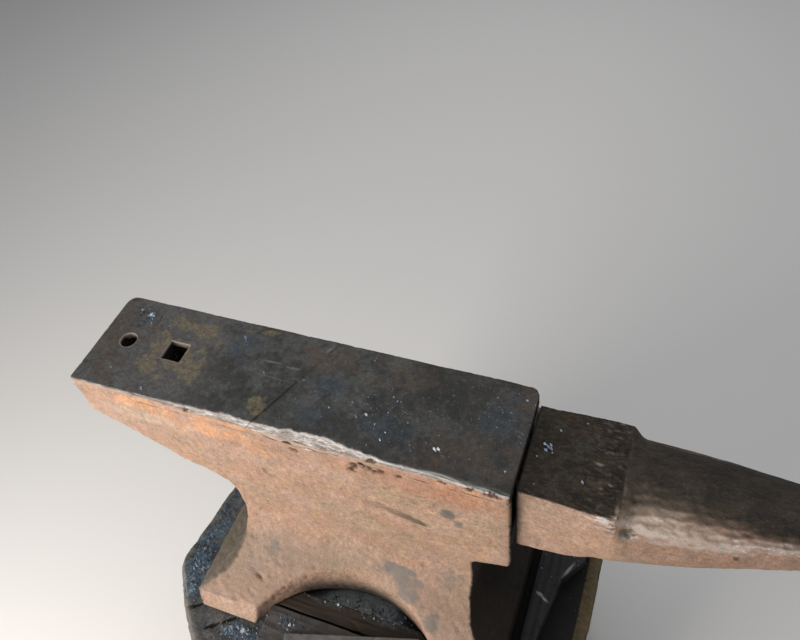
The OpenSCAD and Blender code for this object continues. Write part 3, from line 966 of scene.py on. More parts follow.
def paintNearEdge(mesh, points, nearY, top, work):
    # band: the bruised steel; lip: its bright line; rounded: the grey rounding above it
    inward = points[:, 1] - nearY
    fromTop = top - points[:, 2]
    around = inward - fromTop
    struck = worstWear(points, work)
    reach = np.interp(points[:, 0], work["bandAt"], work["bandReach"])
    reach = reach + work["edgeDrop"] * np.interp(points[:, 0], work["edgeAt"], work["edgeWidth"])
    wave = noiseOver(points, 0.014, 3, 17.0)
    onSide = 1 - smoothStep(fromTop, reach * (0.6 + 0.5 * wave), reach * (1.0 + 0.5 * wave) + 0.001)
    width = nearEdgeWidth(points, work)
    tatter = 0.0017 * noiseOver(points, (0.007, 0.0024, 0.0024), 3, 31.0)
    onSlope = smoothStep(width + 0.0006 - inward + struck * tatter, 0.0, 0.002)
    band = onSide * onSlope
    paintLayer(mesh, "band", band)
    fray = 0.0016 * noiseOver(points, (0.012, 0.003, 0.003), 3, 19.0)
    paintLayer(mesh, "upperStrand", struck * onSlope * smoothStep(inward + fray, 0.0008, 0.003))
    atFront = smoothStep(points[:, 0], 0.03, 0.06)
    thin = smoothStep(noiseOver(points, (0.02, 0.004, 0.004), 3, 27.0), 0.0, 0.4)
    gaps = 1 - 0.5 * thin * (1 - 0.5 * atFront)
    gaps *= 0.6 + 0.4 * smoothStep(points[:, 0], -0.2, -0.15)
    paintLayer(mesh, "lip", nearLip(points, nearY, top, work) * gaps)
    # a second line rises away from the edge and comes back to it
    bow = 0.0016 + 0.0042 * np.clip(1 - ((points[:, 0] - 0.105) / 0.028) ** 2, 0, 1)
    second = bump(around, bow, 0.0012) * (np.abs(points[:, 0] - 0.105) < 0.028)
    bow = 0.0012 + 0.0025 * np.clip(1 - ((points[:, 0] - 0.15) / 0.018) ** 2, 0, 1)
    second = np.maximum(second, bump(around, bow, 0.0009) * (np.abs(points[:, 0] - 0.15) < 0.018))
    paintLayer(mesh, "secondLip", second)
    paintLayer(mesh, "rounded", smoothStep(0.0085 - around, 0.0, 0.004) * (1 - struck) * atFront)


def faceFinish():
    finish, tree, shader = startFinish("forgedFaceSteel")
    tones = {
        "steel": (0.036, 0.035, 0.031),
        "grey": (0.08, 0.079, 0.073),
        "heel": (0.12, 0.112, 0.104),
        "ochre": (0.195, 0.152, 0.085),
        "blue": (0.046, 0.066, 0.09),
        "brown": (0.084, 0.062, 0.046),
        "black": (0.015, 0.015, 0.014),
        "pale": (0.17, 0.175, 0.165),
        "rim": (0.38, 0.31, 0.265),
        "fleck": (0.4, 0.42, 0.44),
        "scratch": (0.24, 0.25, 0.25),
        "rounded": (0.2, 0.21, 0.19),
        "hollow": (0.085, 0.052, 0.034),
        "bruised": (0.44, 0.385, 0.34),
    }
    cloud = patchy(tree, 0.03, 7.0, 0.68, 3.0, 0.4, 0.6)
    top = blend(tree, cloud, tones["steel"], tones["grey"])
    top = laid(tree, "heelPart", 0.6, top, tones["heel"])
    for name, cell, share in (("brown", 0.012, 0.9), ("blue", 0.0045, 0.6), ("ochre", 0.005, 0.85)):
        broken = patchy(tree, cell, 6.0, 0.7, len(name) * 3.0, 0.3, 0.62)
        top = blend(tree, times(tree, layer(tree, name), times(tree, broken, share)), top, tones[name])
    front = blend(tree, times(tree, layer(tree, "frontPart"), 0.8), (1.0, 1.0, 1.0), (0.74, 0.7, 0.66))
    top = blend(tree, 1.0, top, front, "MULTIPLY")
    black = patchy(tree, 0.009, 6.0, 0.72, 33.0, 0.55, 0.7)
    top = blend(tree, times(tree, black, 0.6), top, tones["black"])
    pale = patchy(tree, 0.0055, 5.0, 0.7, 41.0, 0.58, 0.72)
    top = blend(tree, times(tree, pale, 0.5), top, tones["pale"])
    top = mottled(tree, top, 0.006, 0.65, 1.35, 11.0)
    top = mottled(tree, top, 0.0024, 0.72, 1.3, 13.0)
    many = patchy(tree, 0.0034, 4.0, 0.7, 5.0, 0.6, 0.72)
    many = times(tree, many, layer(tree, "speckled"))
    many = times(tree, many, patchy(tree, 0.014, 3.0, 0.6, 15.0, 0.42, 0.56))
    top = blend(tree, times(tree, many, 0.6), top, tones["fleck"])
    top = laid(tree, "scratch", 0.45, top, tones["scratch"])
    streaky = patchy(tree, (0.014, 0.0014, 0.0014), 4.0, 0.7, 43.0, 0.4, 0.62)
    rounded = times(tree, layer(tree, "rounded"), times(tree, streaky, 0.85))
    top = blend(tree, rounded, top, tones["rounded"])
    top = laid(tree, "openSeam", 0.6, top, tones["black"])
    # rust on the upper walls of the tool holes, with painted light reaching lower on the wall that faces
    # the main light
    top = blend(tree, layer(tree, "holeRim"), top, tones["rim"])
    isTop = sums(tree, "MAXIMUM", layer(tree, "upward"), layer(tree, "seam"))
    isTop = sums(tree, "MAXIMUM", isTop, layer(tree, "holeRim"))
    isTop = between(tree, isTop, 0.55, 0.85)
    colour = blend(tree, isTop, rustColour(tree), top)
    # the bruised near edge: cream steel, bright lines drawn out along it, dark creases
    band = times(tree, layer(tree, "band"), uneven(tree, (0.012, 0.005, 0.005), 4.0, 0.7, 31.0, 0.25, 0.95))
    colour = blend(tree, band, colour, ironTones["cream"])
    hollow = times(tree, layer(tree, "band"), veins(tree, (0.02, 0.005, 0.006), 0.022, 35.0))
    colour = blend(tree, times(tree, hollow, 0.55), colour, tones["hollow"])
    bruised = uneven(tree, (0.009, 0.003, 0.003), 4.0, 0.7, 45.0, 0.3, 1.0)
    colour = blend(tree, times(tree, layer(tree, "upperStrand"), bruised), colour, tones["bruised"])
    drawn = patchy(tree, (0.012, 0.0022, 0.0022), 4.0, 0.7, 37.0, 0.46, 0.63)
    strands = times(tree, layer(tree, "upperStrand"), 0.9)
    strands = sums(tree, "ADD", strands, times(tree, layer(tree, "band"), 0.3))
    ridges = times(tree, drawn, strands)
    lip = times(tree, layer(tree, "lip"), uneven(tree, (0.012, 0.003, 0.003), 4.0, 0.7, 39.0, 0.3, 1.45))
    second = times(tree, layer(tree, "secondLip"), 0.55)
    second = sums(tree, "MAXIMUM", second, times(tree, layer(tree, "lump"), 0.9))
    lip = sums(tree, "MAXIMUM", lip, second)
    bare = between(tree, sums(tree, "MAXIMUM", ridges, lip), 0.0, 0.95)
    colour = blend(tree, bare, colour, ironTones["bright"])
    colour = laid(tree, "chip", 0.92, colour, ironTones["pit"])
    # painted shade in the tool holes and at the joint
    colour = withPaintedShade(tree, colour)
    plug(tree, shader.inputs["Base Color"], colour)
    rough = sums(tree, "SUBTRACT", 0.78, times(tree, isTop, 0.18))
    rough = sums(tree, "SUBTRACT", rough, times(tree, bare, 0.15))
    plug(tree, shader.inputs["Roughness"], rough)
    plug(tree, shader.inputs["Metallic"], times(tree, isTop, 0.15))
    shader.inputs["Specular IOR Level"].default_value = 0.38
    raised(tree, shader, grain(tree, 0.0026, 6.0, 0.72, 12.0), 0.0008, 0.9)
    return finish


faceSteel = faceFinish()
for node, name in (("face_plate_heel", "facePlateHeel"), ("face_plate_front", "facePlateFront")):
    finishPiece(makePlate(node, name, faceWork), faceSteel, "face_steel", node)


# The horn block: hammered table, round horn with a rubbed band and a painted sheen along it

hornWork = {
    "cell": 0.00175,
    "softening": 1,
    "tableEnd": 0.2685,  # along X
    "broadCell": 0.05,
    "broadDepth": 0.0007,
    "dentCell": 0.016,
    "dentDepth": 0.0009,
    "skinCell": 0.005,
    "skinDepth": 0.0002,
    "pitCell": 0.009,
    "pitShare": 0.08,
    "pitDepth": 0.0003,
    "stepRounds": 45,
    "rippleCell": (0.026, 0.0058, 0.03),
    "rippleDepth": 0.0016,
    "worn": [
        ((0.2796, -0.0524, 0.7748), (0.0075, 0.01, 0.0055), 0.9),
        ((0.18, -0.0505, 0.73), (0.005, 0.01, 0.035), 0.3),
    ],
    "fibrous": [
        ((0.215, -0.055, 0.75), (0.06, 0.02, 0.03), 0.6),
    ],
    "streak": [
        ((0.3712, -0.0454, 0.7705), (0.0028, 0.008, 0.0028)),
        ((0.2835, -0.052, 0.7715), (0.0045, 0.01, 0.003), 0.5),
        ((0.2655, -0.0545, 0.782), (0.006, 0.008, 0.0022), 0.8),
    ],
    "cuts": [
        ((0.2555, -0.0505, 0.7895), (0.266, -0.0525, 0.783), 0.002, 0.0018),
        ((0.1845, -0.0416, 0.792), (0.2093, -0.0465, 0.792), 0.0022, 0.0016),
        ((0.246, -0.03, 0.792), (0.264, -0.014, 0.792), 0.002, 0.0012),
    ],
    # the crack at the end of the table: painted shadow of the step, drawn dark where the step is rounded
    "crack": [
        ((0.2698, -0.0525, 0.7875), (0.2693, -0.044, 0.793), 0.0019, 0.003),
        ((0.2693, -0.045, 0.793), (0.2688, -0.03, 0.796), 0.0017, 0.0026),
    ],
    "deepPits": [
        ((0.2796, -0.0524, 0.7748), (0.0075, 0.005, 0.005)),
    ],
    # the rubbed band along the near side of the horn, with a painted sheen on it, by the slope of the
    # surface in degrees
    "sheenSlope": 30.0,
    "bandReach": 6.5,
    # where the dark top begins, by the slope in degrees, at places along X
    "darkFrom": (0.26, 0.32, 0.354, 0.38, 0.41, 0.5),
    "darkSlope": (66.0, 61.0, 45.0, 37.0, 33.5, 32.0),
}


def makeHorn(work):
    horn = evenSkin("horn_block", "hornBlock", work["cell"], work["softening"])
    mesh = horn.data
    points = getPoints(mesh)
    normals = getNormals(mesh)
    tableEnd = work["tableEnd"]
    onTable = 1 - smoothStep(points[:, 0], tableEnd - 0.003, tableEnd + 0.002)
    onTable = smoothStep(normals[:, 2], 0.6, 0.9) * onTable
    ripples = barkRipples(points, work)
    move = ironSkin(points, work, 9.0)
    move -= onTable * work["rippleDepth"] * (1 - ripples)
    move -= cutsOver(points, work["cuts"]) + ballPits(points, work["deepPits"])
    atStep = 1 - smoothStep(np.abs(points[:, 0] - tableEnd), 0.005, 0.012)
    atStep *= 1 - smoothStep(points[:, 1], -0.034, -0.018)
    setPoints(mesh, points + normals * move[:, None])
    easeEdges(mesh, atStep * smoothStep(points[:, 2], 0.735, 0.75), work["stepRounds"])
    points = getPoints(mesh)
    normals = getNormals(mesh)
    paintIron(mesh, work)
    paintLayer(mesh, "table", onTable)
    paintLayer(mesh, "ripples", ripples)
    paintLayer(mesh, "cut", np.clip(cutsOver(points, work["cuts"] + work["crack"]) / 0.001, 0, 1))
    paintHorn(mesh, points, normals, onTable, work)
    return horn


def barkRipples(points, work):
    # wavy ridges drawn out along X like bark, 1 on the crests
    bend = noiseOver(points, 0.02, 2, 5.0)
    bent = points + np.stack([bend * 0, bend * 0.006, bend * 0], axis=1)
    rough = noiseOver(bent, work["rippleCell"], 3, 3.0)
    nearEnd = 0.35 + 0.65 * smoothStep(points[:, 0], 0.2, 0.25)
    return 1 - nearEnd * (1 - np.clip(1 - np.abs(rough) * 2.2, 0, 1) ** 2)


def paintHorn(mesh, points, normals, onTable, work):
    tableEnd = work["tableEnd"]
    # slope of the surface: 0 on the near side, 90 on the top, 180 on the far side
    rise = np.degrees(np.arctan2(normals[:, 2], -normals[:, 1]))
    wobble = noiseOver(points, (0.035, 0.014, 0.014), 4, 13.0)
    pastTable = smoothStep(points[:, 0], tableEnd, tableEnd + 0.03)
    farAlong = smoothStep(points[:, 0], 0.3, 0.37)
    atStart = 1 - smoothStep(points[:, 0], 0.28, 0.335)
    # the rubbed band and its painted sheen, placed by the slope of the surface
    sheenSlope = work["sheenSlope"] - 1.5 * farAlong + 6 * atStart
    rubbed = bump(rise + wobble * (4 - 2 * atStart), sheenSlope, work["bandReach"] - 0.5 * farAlong)
    paintLayer(mesh, "rubbed", rubbed * smoothStep(points[:, 0], tableEnd, tableEnd + 0.006))
    paintLayer(mesh, "farAlong", farAlong)
    limit = np.interp(points[:, 0], work["darkFrom"], work["darkSlope"])
    crumble = noiseOver(points, (0.012, 0.005, 0.005), 3, 33.0)
    soft = 8 - 2 * farAlong
    dark = smoothStep(rise + wobble * 9 + crumble * 7 - limit, -12 - soft, 11 + soft)
    dark *= 1 - smoothStep(rise + wobble * 9, 135, 160)
    dark *= smoothStep(points[:, 2], 0.735, 0.75)
    dark *= smoothStep(points[:, 0], tableEnd - 0.004, tableEnd + 0.001)
    # painted shade on the table's rims that face away from the light, and painted shadow at the step at the
    # table's end
    awayFromLight = np.maximum(np.abs(normals[:, 0]), smoothStep(normals[:, 1], -0.3, 0.2))
    rims = smoothStep(points[:, 2], 0.775, 0.787) * smoothStep(awayFromLight, 0.3, 0.6)
    rims *= points[:, 0] < tableEnd
    step = 1 - smoothStep(points[:, 0] - tableEnd, 0.0008, 0.0026)
    step *= smoothStep(points[:, 1], -0.043, -0.036)
    step *= points[:, 0] > tableEnd - 0.005
    step *= smoothStep(points[:, 2], 0.77, 0.78)
    dark = np.maximum(np.maximum(dark, onTable), np.maximum(rims, step))
    paintLayer(mesh, "dark", dark)
    cream = smoothStep(rise + wobble * 6, 22, 38) * (1 - smoothStep(points[:, 0], 0.31, 0.38))
    cream *= rise < 110
    paintLayer(mesh, "cream", cream * smoothStep(points[:, 0], tableEnd - 0.001, tableEnd + 0.002))
    paintLayer(mesh, "pastTable", pastTable)
    paintLayer(mesh, "folded", smoothStep(points[:, 0], 0.215, 0.245))
    paintLayer(mesh, "nearBand", 1 - smoothStep(rise + wobble * 6, 38, 60))
    tableEdge = bump(rise, 40, 22) * smoothStep(points[:, 0], 0.232, 0.245)
    paintLayer(mesh, "tableEdge", tableEdge * (points[:, 0] < tableEnd))


def hornFinish():
    finish, tree, shader = startFinish("drawnHornIron")
    tones = {
        "brown": (0.04, 0.031, 0.022),
        "black": (0.016, 0.013, 0.01),
        "green": (0.044, 0.046, 0.037),
        "crest": (0.098, 0.074, 0.048),
        "fold": (0.125, 0.094, 0.06),
        "sheen": (0.62, 0.54, 0.49),
        "glint": (0.72, 0.76, 0.82),
        "cream": (0.13, 0.104, 0.073),
        "lightCream": (0.37, 0.285, 0.22),
        "wrinkle": (0.1, 0.075, 0.045),
        "worn": (0.15, 0.14, 0.105),
    }
    cloud = patchy(tree, (0.03, 0.015, 0.015), 7.0, 0.68, 5.0, 0.38, 0.62)
    top = blend(tree, cloud, tones["black"], tones["brown"])
    green = patchy(tree, 0.018, 4.0, 0.6, 8.0, 0.5, 0.65)
    top = blend(tree, times(tree, green, layer(tree, "table")), top, tones["green"])
    crests = veins(tree, (0.02, 0.0052, 0.02), 0.02, 18.0)
    onTable = times(tree, layer(tree, "table"), patchy(tree, 0.02, 3.0, 0.6, 20.0, 0.45, 0.6))
    crests = times(tree, crests, onTable)
    top = blend(tree, times(tree, crests, 0.6), top, tones["crest"])
    folded = times(tree, layer(tree, "table"), layer(tree, "folded"))
    folds = times(tree, veins(tree, (0.03, 0.013, 0.02), 0.016, 52.0), folded)
    top = blend(tree, times(tree, folds, 0.75), top, tones["fold"])
    hollows = times(tree, between(tree, layer(tree, "ripples"), 0.3, 0.0), layer(tree, "table"))
    top = blend(tree, times(tree, hollows, 0.7), top, tones["black"])
    chips = veins(tree, (0.014, 0.005, 0.005), 0.03, 17.0)
    top = blend(tree, times(tree, chips, 0.3), top, tones["crest"])
    top = mottled(tree, top, (0.008, 0.005, 0.005), 0.6, 1.3, 11.0)
    top = mottled(tree, top, 0.0024, 0.75, 1.25, 13.0)
    top = blend(tree, 1.0, top, (0.92, 0.83, 0.72), "MULTIPLY")
    cream = blend(tree, layer(tree, "nearBand"), tones["cream"], tones["lightCream"])
    wrinkles = veins(tree, (0.014, 0.0055, 0.0055), 0.022, 25.0)
    cream = blend(tree, times(tree, wrinkles, 0.5), cream, tones["wrinkle"])
    cream = mottled(tree, mottled(tree, cream, 0.008, 0.75, 1.2, 26.0), 0.0026, 0.8, 1.2, 28.0)
    rust = blend(tree, layer(tree, "pastTable"), rustColour(tree), (0.84, 0.82, 0.8), "MULTIPLY")
    low = laid(tree, "cream", 0.9, rust, cream)
    low = laid(tree, "worn", 0.85, low, tones["worn"])
    low = laid(tree, "streak", 0.7, low, ironTones["streak"])
    colour = blend(tree, layer(tree, "dark"), low, top)
    # painted sheen and glints along the rubbed band
    broken = uneven(tree, (0.022, 0.006, 0.006), 6.0, 0.65, 23.0, 0.6, 1.05)
    band = times(tree, layer(tree, "rubbed"), sums(tree, "SUBTRACT", 1.0, layer(tree, "worn")))
    band = times(tree, band, broken)
    colour = blend(tree, times(tree, band, 0.64), colour, tones["sheen"])
    glints = patchy(tree, (0.005, 0.003, 0.003), 3.0, 0.7, 29.0, 0.54, 0.68)
    glints = times(tree, glints, times(tree, layer(tree, "farAlong"), layer(tree, "farAlong")))
    colour = blend(tree, times(tree, times(tree, band, glints), 0.75), colour, tones["glint"])
    edge = patchy(tree, (0.014, 0.004, 0.004), 4.0, 0.7, 6.0, 0.45, 0.6)
    edge = times(tree, layer(tree, "tableEdge"), edge)
    colour = blend(tree, edge, colour, ironTones["bright"])
    # cuts, and the painted shadow of the step at the table's end
    colour = laid(tree, "cut", 0.7, colour, tones["black"])
    # painted shade on the end of the block at the joint
    colour = withPaintedShade(tree, colour)
    plug(tree, shader.inputs["Base Color"], colour)
    rough = sums(tree, "ADD", 0.72, times(tree, layer(tree, "table"), 0.12))
    rough = sums(tree, "SUBTRACT", rough, times(tree, band, 0.22))
    plug(tree, shader.inputs["Roughness"], rough)
    plug(tree, shader.inputs["Metallic"], times(tree, band, 0.3))
    shader.inputs["Specular IOR Level"].default_value = 0.36
    raised(tree, shader, grain(tree, (0.004, 0.0026, 0.0026), 6.0, 0.72, 14.0), 0.0009, 0.9)
    return finish


finishPiece(makeHorn(hornWork), hornFinish(), "horn_iron", "horn_block")


# The stump: a log hewn flat at both ends, with drying cracks

stumpWork = {
    "sides": 720,
    "topRings": 80,
    "innerRadius": 0.12,
    "sideRings": 36,
    # cracks on the top: direction in degrees, first and last radius, half width, depth, sway
    "cracks": [
        (246.0, 0.2, 0.3, 0.002, 0.014, 0.005),
        (263.0, 0.16, 0.3, 0.002, 0.012, -0.004),
        (281.0, 0.14, 0.3, 0.003, 0.02, 0.005),
        (301.0, 0.18, 0.3, 0.0022, 0.012, 0.004),
        (322.0, 0.15, 0.3, 0.0026, 0.016, -0.004),
        (28.0, 0.16, 0.3, 0.003, 0.018, -0.005),
        (52.0, 0.18, 0.3, 0.002, 0.012, 0.004),
        (75.0, 0.14, 0.3, 0.003, 0.018, 0.005),
        (98.0, 0.17, 0.3, 0.0022, 0.014, -0.003),
        (121.0, 0.15, 0.3, 0.003, 0.018, 0.004),
        (147.0, 0.17, 0.29, 0.0024, 0.014, -0.004),
    ],
    # short cracks by the near heel foot: start, end, half width, depth
    "shortCracks": [
        ((-0.228, -0.1785, 0.479), (-0.2025, -0.163, 0.48), 0.0022, 0.005),
        ((-0.19, -0.1925, 0.48), (-0.172, -0.18, 0.48), 0.0022, 0.005),
        ((-0.172, -0.18, 0.48), (-0.155, -0.167, 0.48), 0.002, 0.005),
    ],
    # where scale and dust lie thickest on the top: centre, radius along X, Y and Z
    "scaled": [
        ((-0.24, -0.03, 0.48), (0.022, 0.04, 0.02), 0.25),
        ((-0.241, -0.075, 0.48), (0.02, 0.03, 0.02), 0.85),
        ((-0.242, -0.13, 0.48), (0.03, 0.035, 0.02)),
        ((-0.148, -0.184, 0.48), (0.026, 0.016, 0.02)),
        ((0.0, -0.103, 0.48), (0.07, 0.012, 0.02), 0.7),
        ((0.19, 0.12, 0.48), (0.08, 0.08, 0.02)),
        ((-0.05, 0.17, 0.48), (0.2, 0.06, 0.02)),
    ],
}


def stumpOutline(work):
    # radius of the CAD log at each angle and height, by rays towards its middle
    solid = frame["nodes"]["stump"]
    tree = BVHTree.FromObject(solid, bpy.context.evaluated_depsgraph_get())
    low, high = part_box("stump")
    sides = work["sides"]
    angles = np.arange(sides) * 2 * math.pi / sides
    shares = np.linspace(0, 1, work["sideRings"]) ** 1.8
    levels = high.z - 0.0002 - shares * (high.z - low.z - 0.0004)
    radii = np.zeros((len(levels), sides))
    far = 0.6
    for row, level in enumerate(levels):
        for column, angle in enumerate(angles):
            outward = Vector((math.cos(angle), math.sin(angle), 0))
            place, _, _, _ = tree.ray_cast(outward * far + Vector((0, 0, float(level))), -outward)
            radii[row, column] = Vector((place.x, place.y)).length
    # the log bulges a little beyond the CAD outline at its heel side
    turn = (np.degrees(angles) - 205.0 + 180.0) % 360.0 - 180.0
    radii += 0.004 * bump(turn, 0.0, 9.0)[None, :]
    return angles, levels, radii, low.z, high.z


def ringAt(angles, radius, height):
    heights = np.full(len(angles), height)
    return np.stack([radius * np.cos(angles), radius * np.sin(angles), heights], axis=1)


def makeStump(work):
    angles, levels, radii, bottom, top = stumpOutline(work)
    sides = work["sides"]
    rings = []
    inner = work["innerRadius"]
    for share in np.linspace(0, 1, work["topRings"], endpoint=False):
        radius = inner + (radii[0] - inner) * share
        rings.append(ringAt(angles, radius, top))
    for level, radius in zip(levels, radii):
        rings.append(ringAt(angles, radius, level))
    for share in (0.66, 0.33):
        radius = radii[-1] * share
        rings.append(ringAt(angles, radius, bottom))
    points = np.concatenate(rings)
    firstMiddle = len(points)
    points = np.concatenate([points, [[0, 0, top], [0, 0, bottom]]])
    faces = []
    for ring in range(len(rings) - 1):
        for side in range(sides):
            a = ring * sides + side
            b = ring * sides + (side + 1) % sides
            faces.append((a, a + sides, b + sides, b))
    lastRing = (len(rings) - 1) * sides
    for side in range(sides):
        nextSide = (side + 1) % sides
        faces.append((firstMiddle, side, nextSide))
        faces.append((firstMiddle + 1, lastRing + nextSide, lastRing + side))
    mesh = bpy.data.meshes.new("stumpLog")
    mesh.from_pydata(points.tolist(), [], faces)
    stump = newPiece("stumpLog", mesh)
    mesh.shade_smooth()
    weatherStump(mesh, work, bottom, top, angles, radii[0])
    return stump


def weatherStump(mesh, work, bottom, top, angles, outline):
    points = getPoints(mesh)
    radius = np.hypot(points[:, 0], points[:, 1])
    angle = np.degrees(np.arctan2(points[:, 1], points[:, 0])) % 360
    onTop = smoothStep(points[:, 2], top - 0.012, top - 0.001)
    atRest = 1 - smoothStep(points[:, 2], bottom, bottom + 0.01)
    sway = noiseOver(points, (0.04, 0.04, 0.3), 3, 2.0)
    opened = np.zeros(len(points))
    depth = np.zeros(len(points))
    for direction, first, last, halfWidth, deep, bend in work["cracks"]:
        turn = (angle - direction + 180) % 360 - 180
        swayed = np.radians(turn) * radius + bend * np.sin((radius - first) * 60) + sway * 0.004
        along = smoothStep(radius, first, first + 0.03)
        along *= 1 - smoothStep(radius, last, last + 0.01) * onTop
        spread = halfWidth * (0.5 + 0.8 * np.clip((radius - first) / (last - first), 0, 1))
        inside = np.clip(1 - np.abs(swayed) / spread, 0, 1) * along
        inside *= np.where(onTop > 0.5, 1, smoothStep(points[:, 2], top - 0.3 * halfWidth / 0.003, top))
        opened = np.maximum(opened, inside)
        depth = np.maximum(depth, inside * deep)
    shortCracks = cutsOver(points, work["shortCracks"])
    depth = np.maximum(depth, shortCracks)
    opened = np.maximum(opened, np.clip(shortCracks / 0.002, 0, 1))
    grainLines = noiseOver(points, (0.009, 0.009, 0.16), 4, 6.0)
    chips = np.clip(noiseOver(points, 0.03, 3, 8.0) - 0.1, 0, 1)
    topMove = -0.0016 * np.clip(noiseOver(points, 0.04, 3, 4.0) + 0.4, 0, 1)
    topMove -= 0.0011 * np.clip(noiseOver(points, 0.0075, 3, 5.0) + 0.2, 0, 1)
    sideMove = -0.0022 * np.abs(grainLines) - 0.004 * chips
    toRim = np.interp(angle, np.degrees(angles), outline, period=360.0) - radius
    rim = bump(points[:, 2], top - 0.003, 0.008) * (1 - smoothStep(toRim, 0.003, 0.009))
    rimMove = -0.0045 * rim * np.clip(noiseOver(points, (0.05, 0.05, 0.02), 3, 9.0) - 0.1, 0, 1)
    outward = np.stack([points[:, 0], points[:, 1], points[:, 0] * 0], axis=1)
    outward = outward / np.maximum(radius, 0.001)[:, None]
    shaped = points.copy()
    sideShare = (1 - onTop) * (1 - atRest)
    shaped += outward * (sideMove * sideShare + rimMove - depth * sideShare * 0.8)[:, None]
    outer = smoothStep(radius, work["innerRadius"], work["innerRadius"] + 0.02)
    shaped[:, 2] += (topMove * onTop - depth * onTop) * outer
    setPoints(mesh, shaped)
    paintLayer(mesh, "crack", opened)
    paintLayer(mesh, "topFace", onTop)
    paintLayer(mesh, "rim", rim)
    paintLayer(mesh, "scaled", patchesOver(shaped, work["scaled"], 0.7, 0.02, 2.0))
    # painted shade on the top under the horn
    front = smoothStep(points[:, 0], 0.12, 0.16) * (np.abs(points[:, 1]) < 0.1)
    barkFrom = 0.2525 + 0.0015 * noiseOver(points, 0.012, 3, 12.0)
    paintLayer(mesh, "underHorn", onTop * front * (points[:, 0] < barkFrom))
    bark = front * (points[:, 0] >= barkFrom)
    paintLayer(mesh, "bark", bark * smoothStep(points[:, 2], top - 0.03, top - 0.01))
    # painted shadow of the body on the top beside the arch wall
    fromAxis = np.hypot(points[:, 0] - bodyWork["archX"], np.abs(points[:, 1]) - bodyWork["archY"])
    fromWall = fromAxis - bodyWork["archRadius"]
    besideWall = smoothStep(fromWall, -0.022, -0.006) * smoothStep(points[:, 0], 0.0, 0.04)
    paintLayer(mesh, "besideWall", onTop * besideWall)
    inArch = (1 - smoothStep(fromWall, -0.014, -0.002)) * (np.abs(points[:, 1]) < 0.13)
    paintLayer(mesh, "inArch", onTop * inArch * (1 - besideWall))


def stumpFinish():
    finish, tree, shader = startFinish("weatheredLog")
    tones = {
        "top": (0.05, 0.05, 0.05),
        "topDust": (0.095, 0.09, 0.084),
        "blue": (0.06, 0.105, 0.145),
        "pale": (0.2, 0.29, 0.33),
        "rim": (0.16, 0.15, 0.125),
        "bark": (0.13, 0.095, 0.045),
        "side": (0.19, 0.14, 0.095),
        "sideDark": (0.085, 0.06, 0.042),
        "shade": (0.042, 0.046, 0.062),
        "crack": (0.01, 0.009, 0.008),
        "inArch": (0.38, 0.4, 0.37),
    }
    wear = patchy(tree, 0.03, 6.0, 0.65, 2.0, 0.4, 0.6)
    top = blend(tree, wear, tones["top"], tones["topDust"])
    blue = patchy(tree, 0.012, 6.0, 0.75, 9.0, 0.38, 0.56)
    blue = times(tree, blue, sums(tree, "ADD", times(tree, layer(tree, "scaled"), 0.9), 0.1))
    top = blend(tree, blue, top, tones["blue"])
    pale = patchy(tree, 0.005, 5.0, 0.75, 13.0, 0.5, 0.66)
    pale = times(tree, pale, sums(tree, "ADD", times(tree, layer(tree, "scaled"), 0.8), 0.05))
    top = blend(tree, pale, top, tones["pale"])
    top = mottled(tree, top, 0.007, 0.6, 1.35, 15.0)
    top = mottled(tree, top, 0.0028, 0.7, 1.35, 17.0)
    dusty = times(tree, layer(tree, "inArch"), uneven(tree, 0.006, 5.0, 0.7, 31.0, 0.25, 0.9))
    top = blend(tree, dusty, top, tones["inArch"])
    # painted shade under the horn
    shade = blend(tree, 0.8, top, tones["shade"])
    top = blend(tree, layer(tree, "underHorn"), top, shade)
    # painted shadow beside the arch wall, in the crack tone
    top = laid(tree, "besideWall", 0.9, top, tones["crack"])
    fibres = grain(tree, (0.006, 0.006, 0.14), 6.0, 0.65, 5.0)
    side = blend(tree, between(tree, fibres, 0.35, 0.62), tones["sideDark"], tones["side"])
    stain = patchy(tree, (0.08, 0.08, 0.2), 4.0, 0.6, 3.0, 0.4, 0.65)
    side = blend(tree, times(tree, stain, 0.45), side, tones["sideDark"])
    colour = blend(tree, layer(tree, "topFace"), side, top)
    rim = times(tree, layer(tree, "rim"), patchy(tree, 0.014, 5.0, 0.65, 4.0, 0.3, 0.55))
    colour = blend(tree, times(tree, rim, 0.7), colour, tones["rim"])
    bark = times(tree, layer(tree, "bark"), uneven(tree, 0.008, 5.0, 0.7, 24.0, 0.6, 1.0))
    colour = blend(tree, bark, colour, mottled(tree, tones["bark"], 0.006, 0.6, 1.4, 25.0))
    colour = blend(tree, between(tree, layer(tree, "crack"), 0.05, 0.5), colour, tones["crack"])
    plug(tree, shader.inputs["Base Color"], colour)
    shader.inputs["Roughness"].default_value = 0.85
    shader.inputs["Specular IOR Level"].default_value = 0.3
    skin = grain(tree, (0.0025, 0.0025, 0.05), 4.0, 0.7, 6.0)
    skin = sums(tree, "ADD", skin, grain(tree, 0.003, 4.0, 0.7, 1.0))
    raised(tree, shader, skin, 0.001, 1.0)
    return finish


finishPiece(makeStump(stumpWork), stumpFinish(), "stump_wood", "stump")


# Packing on the stump: two boards, a flat bar and a wedge

